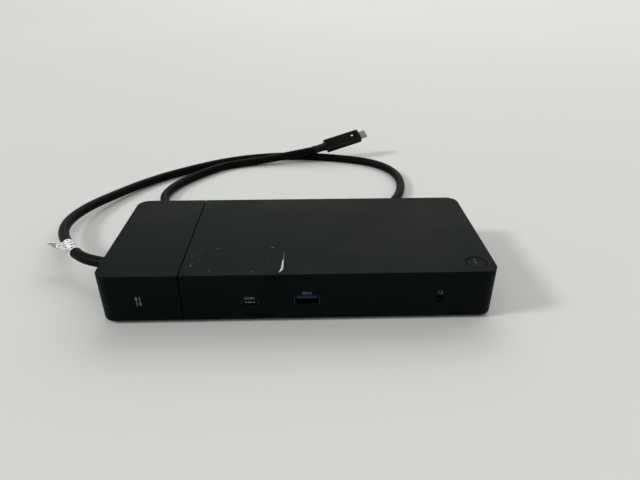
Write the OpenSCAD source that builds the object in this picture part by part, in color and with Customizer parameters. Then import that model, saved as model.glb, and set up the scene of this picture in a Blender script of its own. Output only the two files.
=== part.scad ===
// Laptop docking station: a low slab with a screwed-on cable module at its left end.
// X runs left to right along the front, Y from front to back, Z up, all in millimetres.
// The origin lies on the table under the middle of the housing.

/* [Housing] */
// Width of the whole housing, left to right
body_w = 205; // [203:1:210]
// Depth of the housing, front to back
body_d = 90; // [89:0.5:92]
// Height of the top face above the table
body_h = 29; // [29:0.5:31]
// Radius of the upright corners
corner_r = 7; // [6:0.5:7.5]
// Wall thickness of both covers
wall = 2.2; // [2:0.1:2.4]
// Rounding of the top edge
top_edge_r = 0.5; // [0.3:0.1:0.8]
// Rounding of the bottom edge
bottom_edge_r = 1.4; // [1.2:0.1:2]
// Height at which the feet hold the housing off the table
foot_h = 1.2; // [1:0.1:1.4]
// Place of the groove between the cable module and the main unit
seam_x = -60; // [-61:0.5:-59]
// Chamfer along both sides of that groove
seam_chamfer = 0.2; // [0.1:0.05:0.4]

/* [Power button] */
// Button centre, left to right
button_x = 92.6; // [92:0.1:93]
// Button centre, front to back
button_y = -35.5; // [-36:0.1:-35]
// Diameter of the button
button_d = 9.8; // [9.5:0.1:10]
// Gap all round the button
button_gap = 0.6; // [0.5:0.05:0.7]
// How far the button travels when pressed
button_travel = 0.7; // [0.5:0.1:0.8]

/* [Front sockets] */
// Place of the front Type-C socket along the front
front_c_x = -25.1; // [-27:0.1:-23]
// Place of the front Type-A socket along the front
front_a_x = 4.4; // [2:0.1:7]
// Place of the headset jack along the front
jack_x = 73; // [71:0.5:74]
// Radius of the headset jack's bore
jack_bore_r = 1.8; // [1.77:0.01:1.85]

/* [Rear sockets] */
// Place of the power socket
power_x = 88; // [87.5:0.5:88.5]
// Place of the network socket
network_x = 68; // [67:0.5:69]
// Place of the stacked Type-A sockets
rear_a_x = 46; // [45:0.5:47]
// Place of the rear Type-C socket
rear_c_x = 31; // [30.5:0.5:31.5]
// Place of the video socket
video_x = 10; // [9:0.5:10.5]
// Places of the two monitor sockets
monitor_xs = [-12, -37]; // [-60:0.5:0]
// Place of the module's own rear Type-C socket
module_c_x = -81; // [-83:0.5:-79]

/* [Fan] */
// Fan centre, left to right
fan_x = 70; // [69.5:0.5:70.5]
// Fan centre, front to back
fan_y = -4; // [-4.5:0.5:-3.5]
// Radius over the tips of the blades
fan_r = 16.8; // [15:0.1:17]
// Number of blades
fan_blades = 13; // [9:1:17]

/* [Cable] */
// Diameter of the host cable
cable_d = 6.6; // [6.2:0.1:6.6]
// Place of the cable exit on the left side, front to back
cable_y = -9.5; // [-10:0.1:-9]
// Height of the cable exit
cable_z = 14.5; // [14.5:0.1:15]
// How far the flexible strain relief leans towards the back, in degrees
cable_tilt = 23; // [22:0.5:24]
// Radius of the bend in the strain relief
relief_bend = 20; // [19.5:0.5:21]
// Length of the relief's tapered end
relief_taper = 1.2; // [1:0.1:1.5]

/* [Plug] */
// Length of the plug's overmoulded body
plug_l = 34; // [33:0.5:35]
// Width of the plug's body
plug_w = 12.5; // [12:0.1:12.7]
// Thickness of the plug's body
plug_t = 6.8; // [6.6:0.1:7]
// Length of the neck between cable and plug
neck_l = 12; // [11:0.5:13]
// Roll, rise and heading of the plug where it lies, in degrees
plug_turn = [30, 11, 19]; // [0:0.5:40]

/* [Hidden] */
$fn = 48;

// Colours
copper = [0.6, 0.36, 0.2];
socket_blue = [0.06, 0.2, 0.6];
pad_grey = [0.55, 0.6, 0.66];
wire_colours = [[0.7, 0.1, 0.1], [0.1, 0.5, 0.2], [0.9, 0.9, 0.9], [0.1, 0.2, 0.6], [0.05, 0.05, 0.05]];
black_plastic = [0.11, 0.115, 0.115];
dark_plastic = [0.07, 0.07, 0.075];
rubber = [0.05, 0.05, 0.05];
steel = [0.72, 0.73, 0.74];
gold = [0.83, 0.68, 0.32];
board_green = [0.06, 0.24, 0.14];
paper_white = [0.93, 0.93, 0.91];

// Faces of the housing
left_x = -body_w / 2;
right_x = body_w / 2;
front_y = -body_d / 2;
back_y = body_d / 2;
past = 1;
hair = 0.05;

// The groove: a narrow gap with a chamfer on either side
seam_gap = 0.45;
main_x = seam_x + seam_gap / 2;
module_x = seam_x - seam_gap / 2;

// Levels inside: base plate, circuit board, ceiling
base_t = 2;
base_top = foot_h + base_t;
board_t = 1.6;
board_z = 8.4;
board_top = board_z + board_t;
board_gap = [0.6, 1, 1.6];
board_corner = 3.5;
ceiling = body_h - wall;
rim = 3;
slip = 0.2;

// Screws: bosses hang from the covers, standoffs rise from the base plates
post_r = 3;
post_room = 0.4;
shank_r = 1.1;
pilot_r = 1.15;
hole_r = 1.4;
head_r = 2.3;
head_h = 0.9;
head_pocket_r = 2.6;
head_pocket_h = 1;
drive = [2.6, 0.5, 0.5];
screw_l = 12;
boss_end_gap = 1.5;
board_screw_l = 5;
board_screw_end_gap = 0.4;
root = 0.5;
main_posts = [[-52, -36], [40, -36], [82.5, -36], [-52, 36], [22, 37], [97, 35]];
module_posts = [[-95, -35], [-95, 35], [-67, -36], [-67, 36]];
main_standoffs = [[-50, -24], [44, -28], [95, 20], [-50, 18]];
module_standoffs = [[-92, -24], [-70, 24], [-92, 27]];

// Feet: rubber strips let into pockets
foot_pocket = 0.8;
foot_w = 8;
foot_y = 27;
main_foot = [22, 130];
module_foot = [-81, 28];

// Sockets. Each port looks along -Y with its mouth at y = 0, and stands on the board
shell_t = 0.3;
display_shell_t = 0.45;
port_recess = 0.5;
port_slip = 0.15;
tab = [wall + 2, 2];
type_c_tab_inset = 1.2;
type_c = [8.94, 3.26];
type_c_l = 8;
type_c_root = 2;
c_tongue = [6.7, 5.4, 0.7];
type_c_z = board_top + 1.75;
type_a = [13.1, 5.72];
type_a_l = 14;
type_a_root = 3;
a_tongue = [11.1, 1.2, 1.84];
type_a_z = board_top + 3.2;
stack_rise = 8.6;
stack_l = 17;
video = [15, 5.6];
video_l = 12;
video_cut = 1.9;
monitor = [17, 5.9];
monitor_l = 17;
monitor_cut = 2.2;
display_z = board_top + 3.2;
display_root = 3;
display_tongue_y = 1;
display_tongue_z = [-0.3, 0.7];
video_tongue_w = 11.2;
monitor_tongue_w = 11.6;
network = [16, 13.4];
network_l = 20;
network_z = board_top + network[1] / 2;
network_mouth = [11.8, 8.2];
network_latch = [6.2, 3];
network_face_t = 1;
network_depth = 14;
contact = [0.4, 10.5, 0.6];
contact_pitch = 1.02;
contact_count = 8;
power_block = [10.4, 10.4];
power_l = 14;
power_z = board_top + power_block[1] / 2;
power_bore_r = 3.8;
power_hole_r = power_bore_r + 0.4;
power_bore_l = 11;
power_pin_r = 0.5;
power_pin_back = 1.5;
jack_block = [7, 5.4];
jack_l = 12;
jack_bore_l = 11;
jack_z = board_top + 2.7;
jack_hole_r = 2.3;

// Power button and switch
button_top = body_h - 0.1;
flange_r = button_d / 2 + 1.15;
flange_t = 1.8;
sleeve_r = flange_r + 0.3;
sleeve_t = 2;
sleeve_z = 20;
cap_root = 1;
flange_gap = 0.2;
dish = 0.4;
dish_r = button_d * button_d / (8 * dish);
stroke = [0.8, 5.2, 0.3];
stroke_y = -0.9;
stem_r = 2;
switch_w = 6;
switch_h = 3.4;
plunger_r = 1.75;
plunger_slip = 0.1;
plunger_seat = 0.4;
plunger_top = board_top + switch_h + 1.2;
switch_well = button_travel + 0.7;

// Fan
fan_box = 40;
fan_h = 9;
fan_wall = 1.2;
chamber_r = 18.5;
duct_y = [fan_y - 4, fan_y + chamber_r];
duct_end = right_x - wall - 0.4;
shaft_r = 1;
shaft_bore_r = 1.05;
bearing_r = 2.4;
bearing_h = fan_h - 2.6;
hub_r = 8.5;
hub_t = 0.8;
hub_z = board_top + 2;
hub_top = board_top + 8;
hub_lid_t = 1.2;
blade_l = fan_r - hub_r;
blade_t = 0.8;
blade_lean = 22;
blade_lap = 0.3;
ring_t = 0.8;
shaft_in_lid = 0.6;
stator_r = hub_r - 1.7;
stator_h = 3.4;
stator_z = board_top + 2.4;
stator_gap = [hub_r - 2.6, 1.3];
lid_t = 0.8;
lid_mouth_r = 13;
vent_count = 6;
vent_pitch = 3.6;
vent_size = [2, 6.4];
vent_start = [duct_y[0] + 2.2, board_top + fan_wall + 0.4];
intake_count = 8;
intake_pitch = 4.5;
intake_size = [2.2, 26];

// Heat spreader and what it sits on
chips = [[-15, 0, 16], [15, 5, 14], [32, -10, 9]];
chip_h = 1.6;
pad_h = 1;
spreader = [[-36, -20], [40, 18]];
spreader_z = board_top + chip_h + pad_h;
spreader_t = 2;
fin_h = 6;
fin_t = 1.2;
fin_count = 8;
fin_inset = 9;
spreader_legs = [[-32, -16], [36, 14]];

// Shield cans, each from its corner and size, and the module's controller under one
can_t = 0.3;
main_can = [[-44, -14], [7, 24, 4]];
module_can = [[-90, 3], [17, 17, 4.2]];
module_chip_at = [-87, 6];
module_chip_w = 11;

// Security slot in the right wall
lock_y = 25;
lock_z = 15;
lock_slot = [7, 3];
lock_plate_size = [13, 12];
lock_plate_t = 1.2;

// Link between the two boards, through a window in both inner walls
link_w = 22;
link_h = 3.6;
link_z = board_top + 1.1;
link_t = 1.4;
link_room = 0.5;
link_side = 1.5;
link_plug_x = -70;
link_tongue = [-64, -52.5];
link_socket_x = -49;

// Coupling plates across the underside
coupling_y = 14;
coupling_size = [24, 10, 1];
coupling_screw_dx = 8;
coupling_screw_l = 4;
coupling_head_h = 0.8;
coupling_boss_h = 3;

// Cable: relief and tail run straight through the wall, then bend back
cable_r = cable_d / 2;
lap = 0.5;
relief_r = 4.2;
relief_slip = 0.1;
relief_flange = [6, 0.9];
relief_radii = [relief_r, relief_r - 0.05, relief_r - 0.1, cable_r + 0.4];
relief_bore_radii = [cable_r + 0.05, cable_r + 0.08, cable_r + 0.1, cable_r + 0.1];
tail_radii = [cable_r, cable_r - 0.02, cable_r - 0.04, cable_r - 0.04];
tail_x = -85;
wire_count = len(wire_colours);
wire_r = 0.4;
wire_in = 1;
wire_l = 8;
wire_pitch = [0.9, 1.8];
wire_end_z = board_top + 0.5;
clamp_x = [-96, -92];
clamp_side = 5.5;
clamp_over = 1.2;
relief_end = [
    left_x - relief_bend * sin(cable_tilt) - relief_taper * cos(cable_tilt),
    cable_y + relief_bend * (1 - cos(cable_tilt)) + relief_taper * sin(cable_tilt),
    cable_z
];
neck_start = [12.3, 191, 10.3];

// Route of the cable over the table: out to the left, back, to the right, round behind the
// housing and back again, over itself to the plug
route = [
    relief_end,
    [-121.2, -2.9, 14.1], [-127.9, 1.9, 13.6], [-135.1, 9.5, 12.9], [-142.5, 19.6, 12],
    [-149.1, 30.2, 11], [-153.6, 40.3, 10.1], [-156.4, 51.6, 9.2], [-157.1, 64.4, 8],
    [-155.3, 77.6, 6.9], [-151.2, 91, 5.9], [-144.8, 104.1, 5.1], [-135.3, 120.7, 4.3],
    [-123.7, 137, 3.7], [-104.7, 156, 3.4], [-71, 179.6, 3.4], [-36.8, 192.2, 3.4],
    [0, 194.9, 3.4], [43.4, 185.4, 3.4], [65.1, 174.7, 3.4], [79.5, 153.2, 3.4],
    [82.2, 128.6, 3.4], [77.8, 109.6, 3.4], [65.9, 85.2, 3.4], [45.9, 68.7, 3.4],
    [10, 59.2, 3.4], [-29.9, 57.2, 3.4], [-64.8, 62.2, 3.4], [-90.8, 77.2, 3.4],
    [-103.5, 102.2, 3.4], [-102, 123.4, 3.4], [-90.4, 145.2, 3.4], [-69.2, 169.2, 3.4],
    [-51.9, 177.9, 3.4], [-36.2, 182.2, 4.1], [-22.7, 184.4, 5.6], [0, 188.1, 8.9],
    neck_start
];
cable_sides = 10;

// Paper tag on the cable, where the cable first bends back
tag_at = [-137.1, 12.26, 12.66];
tag_heading = 127.7;
tag_dip = 4;
tag_l = 15.6;
tag_t = 0.2;
tag_slip = 0.25;
flag_root = 45;
flag_lift = 14;
flag = [[0, -7.6], [5, -3.8], [7.3, -0.4], [10.1, 7.8], [0, 7.7]];

// Plug pieces
neck_r = [3.5, 3.8];
collar_l = 1.6;
plug_corner = 2.4;
tip = [8.3, 2.5, 6.6];
tip_wall = 0.3;
tip_back = 0.8;
light = [2, 1.5, 0.4];
light_from_front = 7.6;

// General shapes

// A 2D rectangle with rounded corners, from its lowest to its highest corner
module round_rect(low, high, r) {
    size = high - low;
    translate([low[0] + r, low[1]]) square([size[0] - 2 * r, size[1]]);
    translate([low[0], low[1] + r]) square([size[0], size[1] - 2 * r]);
    for (x = [low[0] + r, high[0] - r], y = [low[1] + r, high[1] - r])
        translate([x, y]) circle(r);
}

// A 2D slot with round ends
module oval(size) {
    square([size[0] - size[1], size[1]], center = true);
    for (s = [-1, 1]) translate([s * (size[0] - size[1]) / 2, 0]) circle(size[1] / 2);
}

// A flat shape in X and Z carried along +Y
module along_y(depth) {
    translate([0, depth, 0]) rotate([90, 0, 0]) linear_extrude(depth) children();
}

// A flat shape in Y and Z carried along +X
module along_x(depth) {
    rotate([90, 0, 90]) linear_extrude(depth) children();
}

// A box between two opposite corners
module block(low, high) {
    translate(low) cube(high - low);
}

// A round bar between two points
module rod(from, to, r) {
    d = to - from;
    length = norm(d);
    translate(from) rotate([0, acos(d[2] / length), atan2(d[1], d[0])]) cylinder(h = length, r = r);
}

// A set of upright cylinders at places in X and Y
module pegs(places, z, h, r) {
    for (p = places) translate([p[0], p[1], z]) cylinder(h = h, r = r);
}

// A screw with its head down and a cross cut into the head
module screw_up(z, length, head = head_h) {
    difference() {
        union() {
            translate([0, 0, z]) cylinder(h = head, r = head_r);
            translate([0, 0, z + head]) cylinder(h = length, r = shank_r);
        }
        for (a = [0, 90]) rotate([0, 0, a])
            translate([-drive[0] / 2, -drive[1] / 2, z - past]) cube([drive[0], drive[1], drive[2] + past]);
    }
}

// Housing

// Side view of the rim, from the middle of a corner outwards
module rim_profile() {
    height = body_h - foot_h;
    translate([0, foot_h]) square([corner_r - bottom_edge_r, height]);
    translate([0, foot_h + bottom_edge_r]) square([corner_r - top_edge_r, height - bottom_edge_r]);
    translate([0, foot_h + bottom_edge_r]) square([corner_r, height - bottom_edge_r - top_edge_r]);
    translate([corner_r - bottom_edge_r, foot_h + bottom_edge_r]) circle(bottom_edge_r);
    translate([corner_r - top_edge_r, body_h - top_edge_r]) circle(top_edge_r);
}

// The whole slab: corners are the rim turned, sides are the rim pushed along
module slab() {
    cx = right_x - corner_r;
    cy = back_y - corner_r;
    block([-cx, -cy, foot_h], [cx, cy, body_h]);
    for (turn = [0, 180]) rotate([0, 0, turn]) {
        translate([-cx, cy, 0]) along_x(2 * cx) rim_profile();
        translate([cx, -cy, 0]) along_y(2 * cy) rim_profile();
        translate([cx, cy, 0]) rotate_extrude(angle = 90) rim_profile();
        translate([-cx, cy, 0]) rotate([0, 0, 90]) rotate_extrude(angle = 90) rim_profile();
    }
}

// The chamfers along the groove, over the top and down the front and back
module seam_chamfers() {
    side = sqrt(2) * (seam_chamfer + seam_gap / 2);
    translate([seam_x, 0, body_h]) rotate([0, 45, 0]) cube([side, body_d + 2 * past, side], center = true);
    for (y = [front_y, back_y])
        translate([seam_x, y, body_h / 2]) rotate([0, 0, 45])
            cube([side, side, body_h + 2 * past], center = true);
}

// The part of the slab between two X places, hollowed, with room below for its base plate
module cover_shell(x0, x1) {
    difference() {
        intersection() {
            slab();
            block([x0, front_y - past, 0], [x1, back_y + past, body_h + past]);
        }
        seam_chamfers();
        translate([0, 0, base_top - slip])
            linear_extrude(ceiling - base_top + slip)
                round_rect([x0 + wall, front_y + wall], [x1 - wall, back_y - wall], corner_r - wall);
        translate([0, 0, foot_h - past])
            linear_extrude(base_t + past)
                round_rect([x0 + rim, front_y + rim], [x1 - rim, back_y - rim], corner_r - rim);
    }
}

// Bosses for the base screws, from the ceiling down to the base plate
module bosses(places) {
    difference() {
        pegs(places, base_top, ceiling - base_top + wall / 2, post_r);
        pegs(places, base_top - past, screw_l + past, pilot_r);
    }
}

module front_port(x, z) {
    translate([x, front_y + port_recess, z]) children();
}

module rear_port(x, z) {
    translate([x, back_y - port_recess, z]) rotate([0, 0, 180]) children();
}

// A cut through a front or rear wall, from outside inwards
module wall_cut() {
    translate([0, -past - port_recess, 0]) along_y(wall + 2 * past) children();
}

module type_a_outline(grow) {
    square([type_a[0] + 2 * grow, type_a[1] + 2 * grow], center = true);
}

module stack_outline(grow) {
    translate([0, stack_rise / 2])
        square([type_a[0] + 2 * grow, type_a[1] + stack_rise + 2 * grow], center = true);
}

module type_c_outline(grow) {
    oval([type_c[0] + 2 * grow, type_c[1] + 2 * grow]);
}

// Video socket: both lower corners are cut
module video_outline(grow) {
    w = video[0] / 2 + grow;
    h = video[1] / 2 + grow;
    cut = video_cut;
    polygon([[-w, h], [w, h], [w, cut - h], [w - cut, -h], [cut - w, -h], [-w, cut - h]]);
}

// Monitor socket: one lower corner is cut
module monitor_outline(grow) {
    w = monitor[0] / 2 + grow;
    h = monitor[1] / 2 + grow;
    cut = monitor_cut;
    polygon([[-w, h], [w, h], [w, -h], [cut - w, -h], [-w, cut - h]]);
}

module network_outline(grow) {
    square([network[0] + 2 * grow, network[1] + 2 * grow], center = true);
}

module link_window() {
    block(
        [seam_x - wall - past, -link_w / 2 - link_room, link_z - link_room],
        [seam_x + wall + past, link_w / 2 + link_room, link_z + link_t + link_room]
    );
}

// Recess for the plates that hold module and main unit together
module coupling_recess(grow) {
    half = [coupling_size[0] / 2 + grow, coupling_size[1] / 2 + grow];
    for (s = [-1, 1])
        block(
            [seam_x - half[0], s * coupling_y - half[1], foot_h - past],
            [seam_x + half[0], s * coupling_y + half[1], foot_h + coupling_size[2] + grow]
        );
}

module top_cover() {
    color(black_plastic) difference() {
        union() {
            cover_shell(main_x, right_x);
            bosses(main_posts);
            translate([button_x, button_y, sleeve_z]) difference() {
                cylinder(h = ceiling - sleeve_z + wall / 2, r = sleeve_r + sleeve_t);
                translate([0, 0, -past]) cylinder(h = ceiling - sleeve_z + past, r = sleeve_r);
            }
        }
        translate([button_x, button_y, ceiling - past])
            cylinder(h = wall + 2 * past, r = button_d / 2 + button_gap);
        front_port(front_c_x, type_c_z) wall_cut() type_c_outline(port_slip);
        front_port(front_a_x, type_a_z) wall_cut() type_a_outline(port_slip);
        front_port(jack_x, jack_z) wall_cut() circle(jack_hole_r);
        rear_port(power_x, power_z) wall_cut() circle(power_hole_r);
        rear_port(network_x, network_z) wall_cut() network_outline(port_slip);
        rear_port(rear_a_x, type_a_z) wall_cut() stack_outline(port_slip);
        rear_port(rear_c_x, type_c_z) wall_cut() type_c_outline(port_slip);
        rear_port(video_x, display_z) wall_cut() video_outline(port_slip);
        for (x = monitor_xs) rear_port(x, display_z) wall_cut() monitor_outline(port_slip);
        for (i = [0 : vent_count - 1])
            translate([right_x - wall - past, vent_start[0] + i * vent_pitch, vent_start[1]])
                cube([wall + 2 * past, vent_size[0], vent_size[1]]);
        translate([right_x - wall - past, lock_y, lock_z]) along_x(wall + 2 * past) oval(lock_slot);
        link_window();
        coupling_recess(slip);
    }
}

// A base plate with its standoffs, screw holes, foot pockets and coupling screw holes
module base_plate(x0, x1, posts, standoffs, foot, coupling_x) {
    inset = rim + slip;
    coupling_places = [for (s = [-1, 1]) [coupling_x, s * coupling_y]];
    difference() {
        union() {
            translate([0, 0, foot_h]) linear_extrude(base_t)
                round_rect([x0 + inset, front_y + inset], [x1 - inset, back_y - inset], corner_r - inset);
            pegs(standoffs, base_top - root, board_z - base_top + root, post_r);
            pegs(coupling_places, base_top - root, coupling_boss_h + root, post_r);
        }
        pegs(posts, foot_h - past, base_t + 2 * past, hole_r);
        pegs(posts, foot_h - past, head_pocket_h + past, head_pocket_r);
        pegs(standoffs, board_z - board_screw_l + board_t, board_screw_l + past, pilot_r);
        pegs(coupling_places, foot_h - past, base_t + coupling_boss_h + 2 * past, pilot_r);
        for (s = [-1, 1]) translate([foot[0], s * foot_y, foot_h - past])
            linear_extrude(foot_pocket + past) oval([foot[1], foot_w]);
        coupling_recess(slip);
    }
}

// Air is drawn in through slots under the fan
module base_cover() {
    color(dark_plastic) difference() {
        base_plate(main_x, right_x, main_posts, main_standoffs, main_foot, seam_x + coupling_screw_dx);
        for (i = [0 : intake_count - 1])
            translate([
                fan_x + (i - (intake_count - 1) / 2) * intake_pitch - intake_size[0] / 2,
                fan_y - intake_size[1] / 2,
                foot_h - past
            ]) cube([intake_size[0], intake_size[1], base_t + 2 * past]);
    }
}

// Two strips under one base plate
module foot_pair(foot) {
    color(rubber) for (s = [-1, 1])
        translate([foot[0], s * foot_y, 0]) linear_extrude(foot_h + foot_pocket)
            oval([foot[1] - slip, foot_w - slip]);
}

module main_feet() {
    foot_pair(main_foot);
}

module module_feet() {
    foot_pair(module_foot);
}

module module_cover() {
    color(black_plastic) difference() {
        union() {
            cover_shell(left_x, module_x);
            bosses(module_posts);
        }
        rear_port(module_c_x, type_c_z) wall_cut() type_c_outline(port_slip);
        translate([left_x - past, cable_y, cable_z]) rotate([0, 90, 0])
            cylinder(h = wall + 2 * past, r = relief_r + relief_slip);
        link_window();
        coupling_recess(slip);
    }
}

module module_base() {
    color(dark_plastic)
        base_plate(
            left_x, module_x, module_posts, module_standoffs, module_foot, seam_x - coupling_screw_dx
        );
}

module coupling_plates() {
    color(steel) difference() {
        for (s = [-1, 1])
            translate([seam_x, s * coupling_y, foot_h]) linear_extrude(coupling_size[2])
                square([coupling_size[0], coupling_size[1]], center = true);
        for (s = [-1, 1], t = [-1, 1])
            translate([seam_x + t * coupling_screw_dx, s * coupling_y, foot_h - past])
                cylinder(h = coupling_size[2] + 2 * past, r = hole_r);
    }
}

// Thin heads, below the plates and above the table
module coupling_screws() {
    color(steel) for (s = [-1, 1], t = [-1, 1])
        translate([seam_x + t * coupling_screw_dx, s * coupling_y, foot_h - coupling_head_h])
            screw_up(0, coupling_screw_l, coupling_head_h);
}

module base_screws() {
    color(steel) for (p = main_posts)
        translate(p) screw_up(foot_h + head_pocket_h - head_h, screw_l - boss_end_gap);
}

module module_screws() {
    color(steel) for (p = module_posts)
        translate(p) screw_up(foot_h + head_pocket_h - head_h, screw_l - boss_end_gap);
}

// Power button

// A dished cap with a retaining flange and a long stem down to the switch
module power_button() {
    color(black_plastic) translate([button_x, button_y, 0]) difference() {
        union() {
            translate([0, 0, ceiling - cap_root])
                cylinder(h = button_top - ceiling + cap_root, r = button_d / 2);
            translate([0, 0, ceiling - flange_gap - flange_t]) cylinder(h = flange_t, r = flange_r);
            translate([0, 0, plunger_top]) cylinder(h = ceiling - plunger_top - cap_root, r = stem_r);
        }
        translate([0, 0, button_top - dish + dish_r]) sphere(dish_r, $fn = 96);
        translate([-stroke[0] / 2, stroke_y, button_top - dish - stroke[2]])
            cube([stroke[0], stroke[1], stroke[2] + past]);
    }
}

module switch_body() {
    color(dark_plastic) translate([button_x, button_y, board_top]) difference() {
        translate([-switch_w / 2, -switch_w / 2, 0]) cube([switch_w, switch_w, switch_h]);
        translate([0, 0, switch_h - switch_well])
            cylinder(h = switch_well + past, r = plunger_r + plunger_slip);
    }
}

module switch_plunger() {
    low = board_top + switch_h - plunger_seat;
    color(rubber) translate([button_x, button_y, low]) cylinder(h = plunger_top - low, r = plunger_r);
}

// Main board and what is on it

module main_board() {
    color(board_green) difference() {
        translate([0, 0, board_z]) linear_extrude(board_t)
            round_rect(
                [main_x + wall + board_gap[0], front_y + wall + board_gap[1]],
                [right_x - wall - board_gap[2], back_y - wall - board_gap[1]],
                board_corner
            );
        pegs(main_posts, board_z - past, board_t + 2 * past, post_r + post_room);
        pegs(main_standoffs, board_z - past, board_t + 2 * past, hole_r);
        pegs(spreader_legs, board_z - past, board_t + 2 * past, hole_r);
    }
}

// Screws with their heads up: those into the standoffs and those that hold the heat spreader
module board_screws() {
    color(steel) {
        for (p = concat(main_standoffs, module_standoffs))
            translate([p[0], p[1], board_top + head_h]) mirror([0, 0, 1])
                screw_up(0, board_screw_l - board_screw_end_gap);
        for (p = spreader_legs)
            translate([p[0], p[1], spreader_z + spreader_t + head_h]) mirror([0, 0, 1])
                screw_up(0, spreader_z + spreader_t - board_z + board_screw_end_gap);
    }
}

module main_chips() {
    color(dark_plastic) for (c = chips)
        translate([c[0] - c[2] / 2, c[1] - c[2] / 2, board_top]) cube([c[2], c[2], chip_h]);
}

module thermal_pads() {
    color(pad_grey) for (c = chips)
        translate([c[0] - c[2] / 2, c[1] - c[2] / 2, board_top + chip_h]) cube([c[2], c[2], pad_h]);
}

// A finned plate on two legs
module heat_spreader() {
    size = spreader[1] - spreader[0];
    pitch = (size[1] - fin_t) / (fin_count - 1);
    color(steel) difference() {
        union() {
            translate([spreader[0][0], spreader[0][1], spreader_z]) cube([size[0], size[1], spreader_t]);
            for (i = [0 : fin_count - 1])
                translate([
                    spreader[0][0] + fin_inset, spreader[0][1] + i * pitch, spreader_z + spreader_t - root
                ]) cube([size[0] - 2 * fin_inset, fin_t, fin_h + root]);
            pegs(spreader_legs, board_top, spreader_z - board_top + root, post_r);
        }
        pegs(spreader_legs, board_top - past, spreader_z + spreader_t - board_top + 2 * past, hole_r);
    }
}

// A thin steel can, open towards the board
module can(low, size) {
    translate([low[0], low[1], board_top]) difference() {
        cube(size);
        block([can_t, can_t, -past], [size[0] - can_t, size[1] - can_t, size[2] - can_t]);
    }
}

module shield_can() {
    color(steel) can(main_can[0], main_can[1]);
}

// Blower

module fan_housing() {
    inner_h = fan_h - fan_wall;
    color(dark_plastic) translate([0, 0, board_top]) difference() {
        union() {
            difference() {
                union() {
                    translate([fan_x - fan_box / 2, fan_y - fan_box / 2, 0]) cube([fan_box, fan_box, fan_h]);
                    block([fan_x, duct_y[0] - fan_wall, 0], [duct_end, duct_y[1] + fan_wall, fan_h]);
                }
                translate([fan_x, fan_y, fan_wall]) cylinder(h = inner_h + past, r = chamber_r);
                block([fan_x, duct_y[0], fan_wall], [duct_end + past, duct_y[1], fan_h + past]);
            }
            translate([fan_x, fan_y, 0]) cylinder(h = bearing_h, r = bearing_r);
        }
        translate([fan_x, fan_y, fan_wall / 2]) cylinder(h = fan_h, r = shaft_bore_r);
    }
}

module fan_stator() {
    color(copper) translate([fan_x, fan_y, stator_z]) difference() {
        cylinder(h = stator_h, r = stator_r);
        translate([0, 0, -past]) cylinder(h = stator_h + 2 * past, r = bearing_r + hair);
        for (a = [45 : 90 : 315]) rotate([0, 0, a])
            translate([stator_gap[0], 0, -past]) cylinder(h = stator_h + 2 * past, r = stator_gap[1]);
    }
}

// Hub cup, ring and backward-leaning blades, turning on one shaft
module fan_impeller() {
    hub_h = hub_top - hub_z;
    shaft_z = board_top + fan_wall;
    color(black_plastic) translate([fan_x, fan_y, 0]) {
        difference() {
            translate([0, 0, hub_z]) {
                cylinder(h = hub_h, r = hub_r);
                cylinder(h = ring_t, r = fan_r);
                for (i = [0 : fan_blades - 1]) rotate([0, 0, i * 360 / fan_blades])
                    translate([hub_r - blade_lap, 0, blade_lap]) rotate([0, 0, blade_lean])
                        cube([blade_l, blade_t, hub_h - ring_t]);
            }
            translate([0, 0, hub_z - past]) cylinder(h = hub_h - hub_lid_t + past, r = hub_r - hub_t);
        }
        translate([0, 0, shaft_z]) cylinder(h = hub_top - shaft_in_lid - shaft_z, r = shaft_r);
    }
}

module fan_lid() {
    color(steel) translate([0, 0, board_top + fan_h]) difference() {
        union() {
            translate([fan_x - fan_box / 2, fan_y - fan_box / 2, 0]) cube([fan_box, fan_box, lid_t]);
            block([fan_x, duct_y[0] - fan_wall, 0], [duct_end, duct_y[1] + fan_wall, lid_t]);
        }
        translate([fan_x, fan_y, -past]) cylinder(h = lid_t + 2 * past, r = lid_mouth_r);
    }
}

// Sockets

// Two tabs that solder a shell to the board
module solder_tabs(half_w, rise) {
    for (s = [-1, 1])
        translate([s * (half_w - shell_t / 2) - shell_t / 2, tab[0], -rise]) cube([shell_t, tab[1], rise]);
}

module type_c_shell() {
    color(steel) difference() {
        union() {
            along_y(type_c_l) type_c_outline(0);
            solder_tabs(type_c[0] / 2 - type_c_tab_inset, type_c_z - board_top);
        }
        translate([0, -past, 0]) along_y(type_c_l + 2 * past) type_c_outline(-shell_t);
    }
}

module type_c_tongue() {
    size = c_tongue;
    start = type_c_l - type_c_root;
    color(dark_plastic) {
        translate([0, start, 0]) along_y(type_c_root) type_c_outline(-shell_t - hair);
        translate([-size[0] / 2, start - size[1], -size[2] / 2]) cube([size[0], size[1] + root, size[2]]);
    }
}

// The tongue starts a little behind the mouth and hangs in the upper half of the shell
module type_a_tongue(length) {
    size = a_tongue;
    start = length - type_a_root;
    translate([0, start, 0]) along_y(type_a_root) type_a_outline(-shell_t - hair);
    block([-size[0] / 2, size[1], hair], [size[0] / 2, start + root, hair + size[2]]);
}

module front_c_shell() {
    front_port(front_c_x, type_c_z) type_c_shell();
}

module front_c_tongue() {
    front_port(front_c_x, type_c_z) type_c_tongue();
}

module front_a_shell() {
    color(steel) front_port(front_a_x, type_a_z) difference() {
        union() {
            along_y(type_a_l) type_a_outline(0);
            solder_tabs(type_a[0] / 2, type_a_z - board_top);
        }
        translate([0, -past, 0]) along_y(type_a_l + 2 * past) type_a_outline(-shell_t);
    }
}

module front_a_tongue() {
    color(socket_blue) front_port(front_a_x, type_a_z) type_a_tongue(type_a_l);
}

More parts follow.
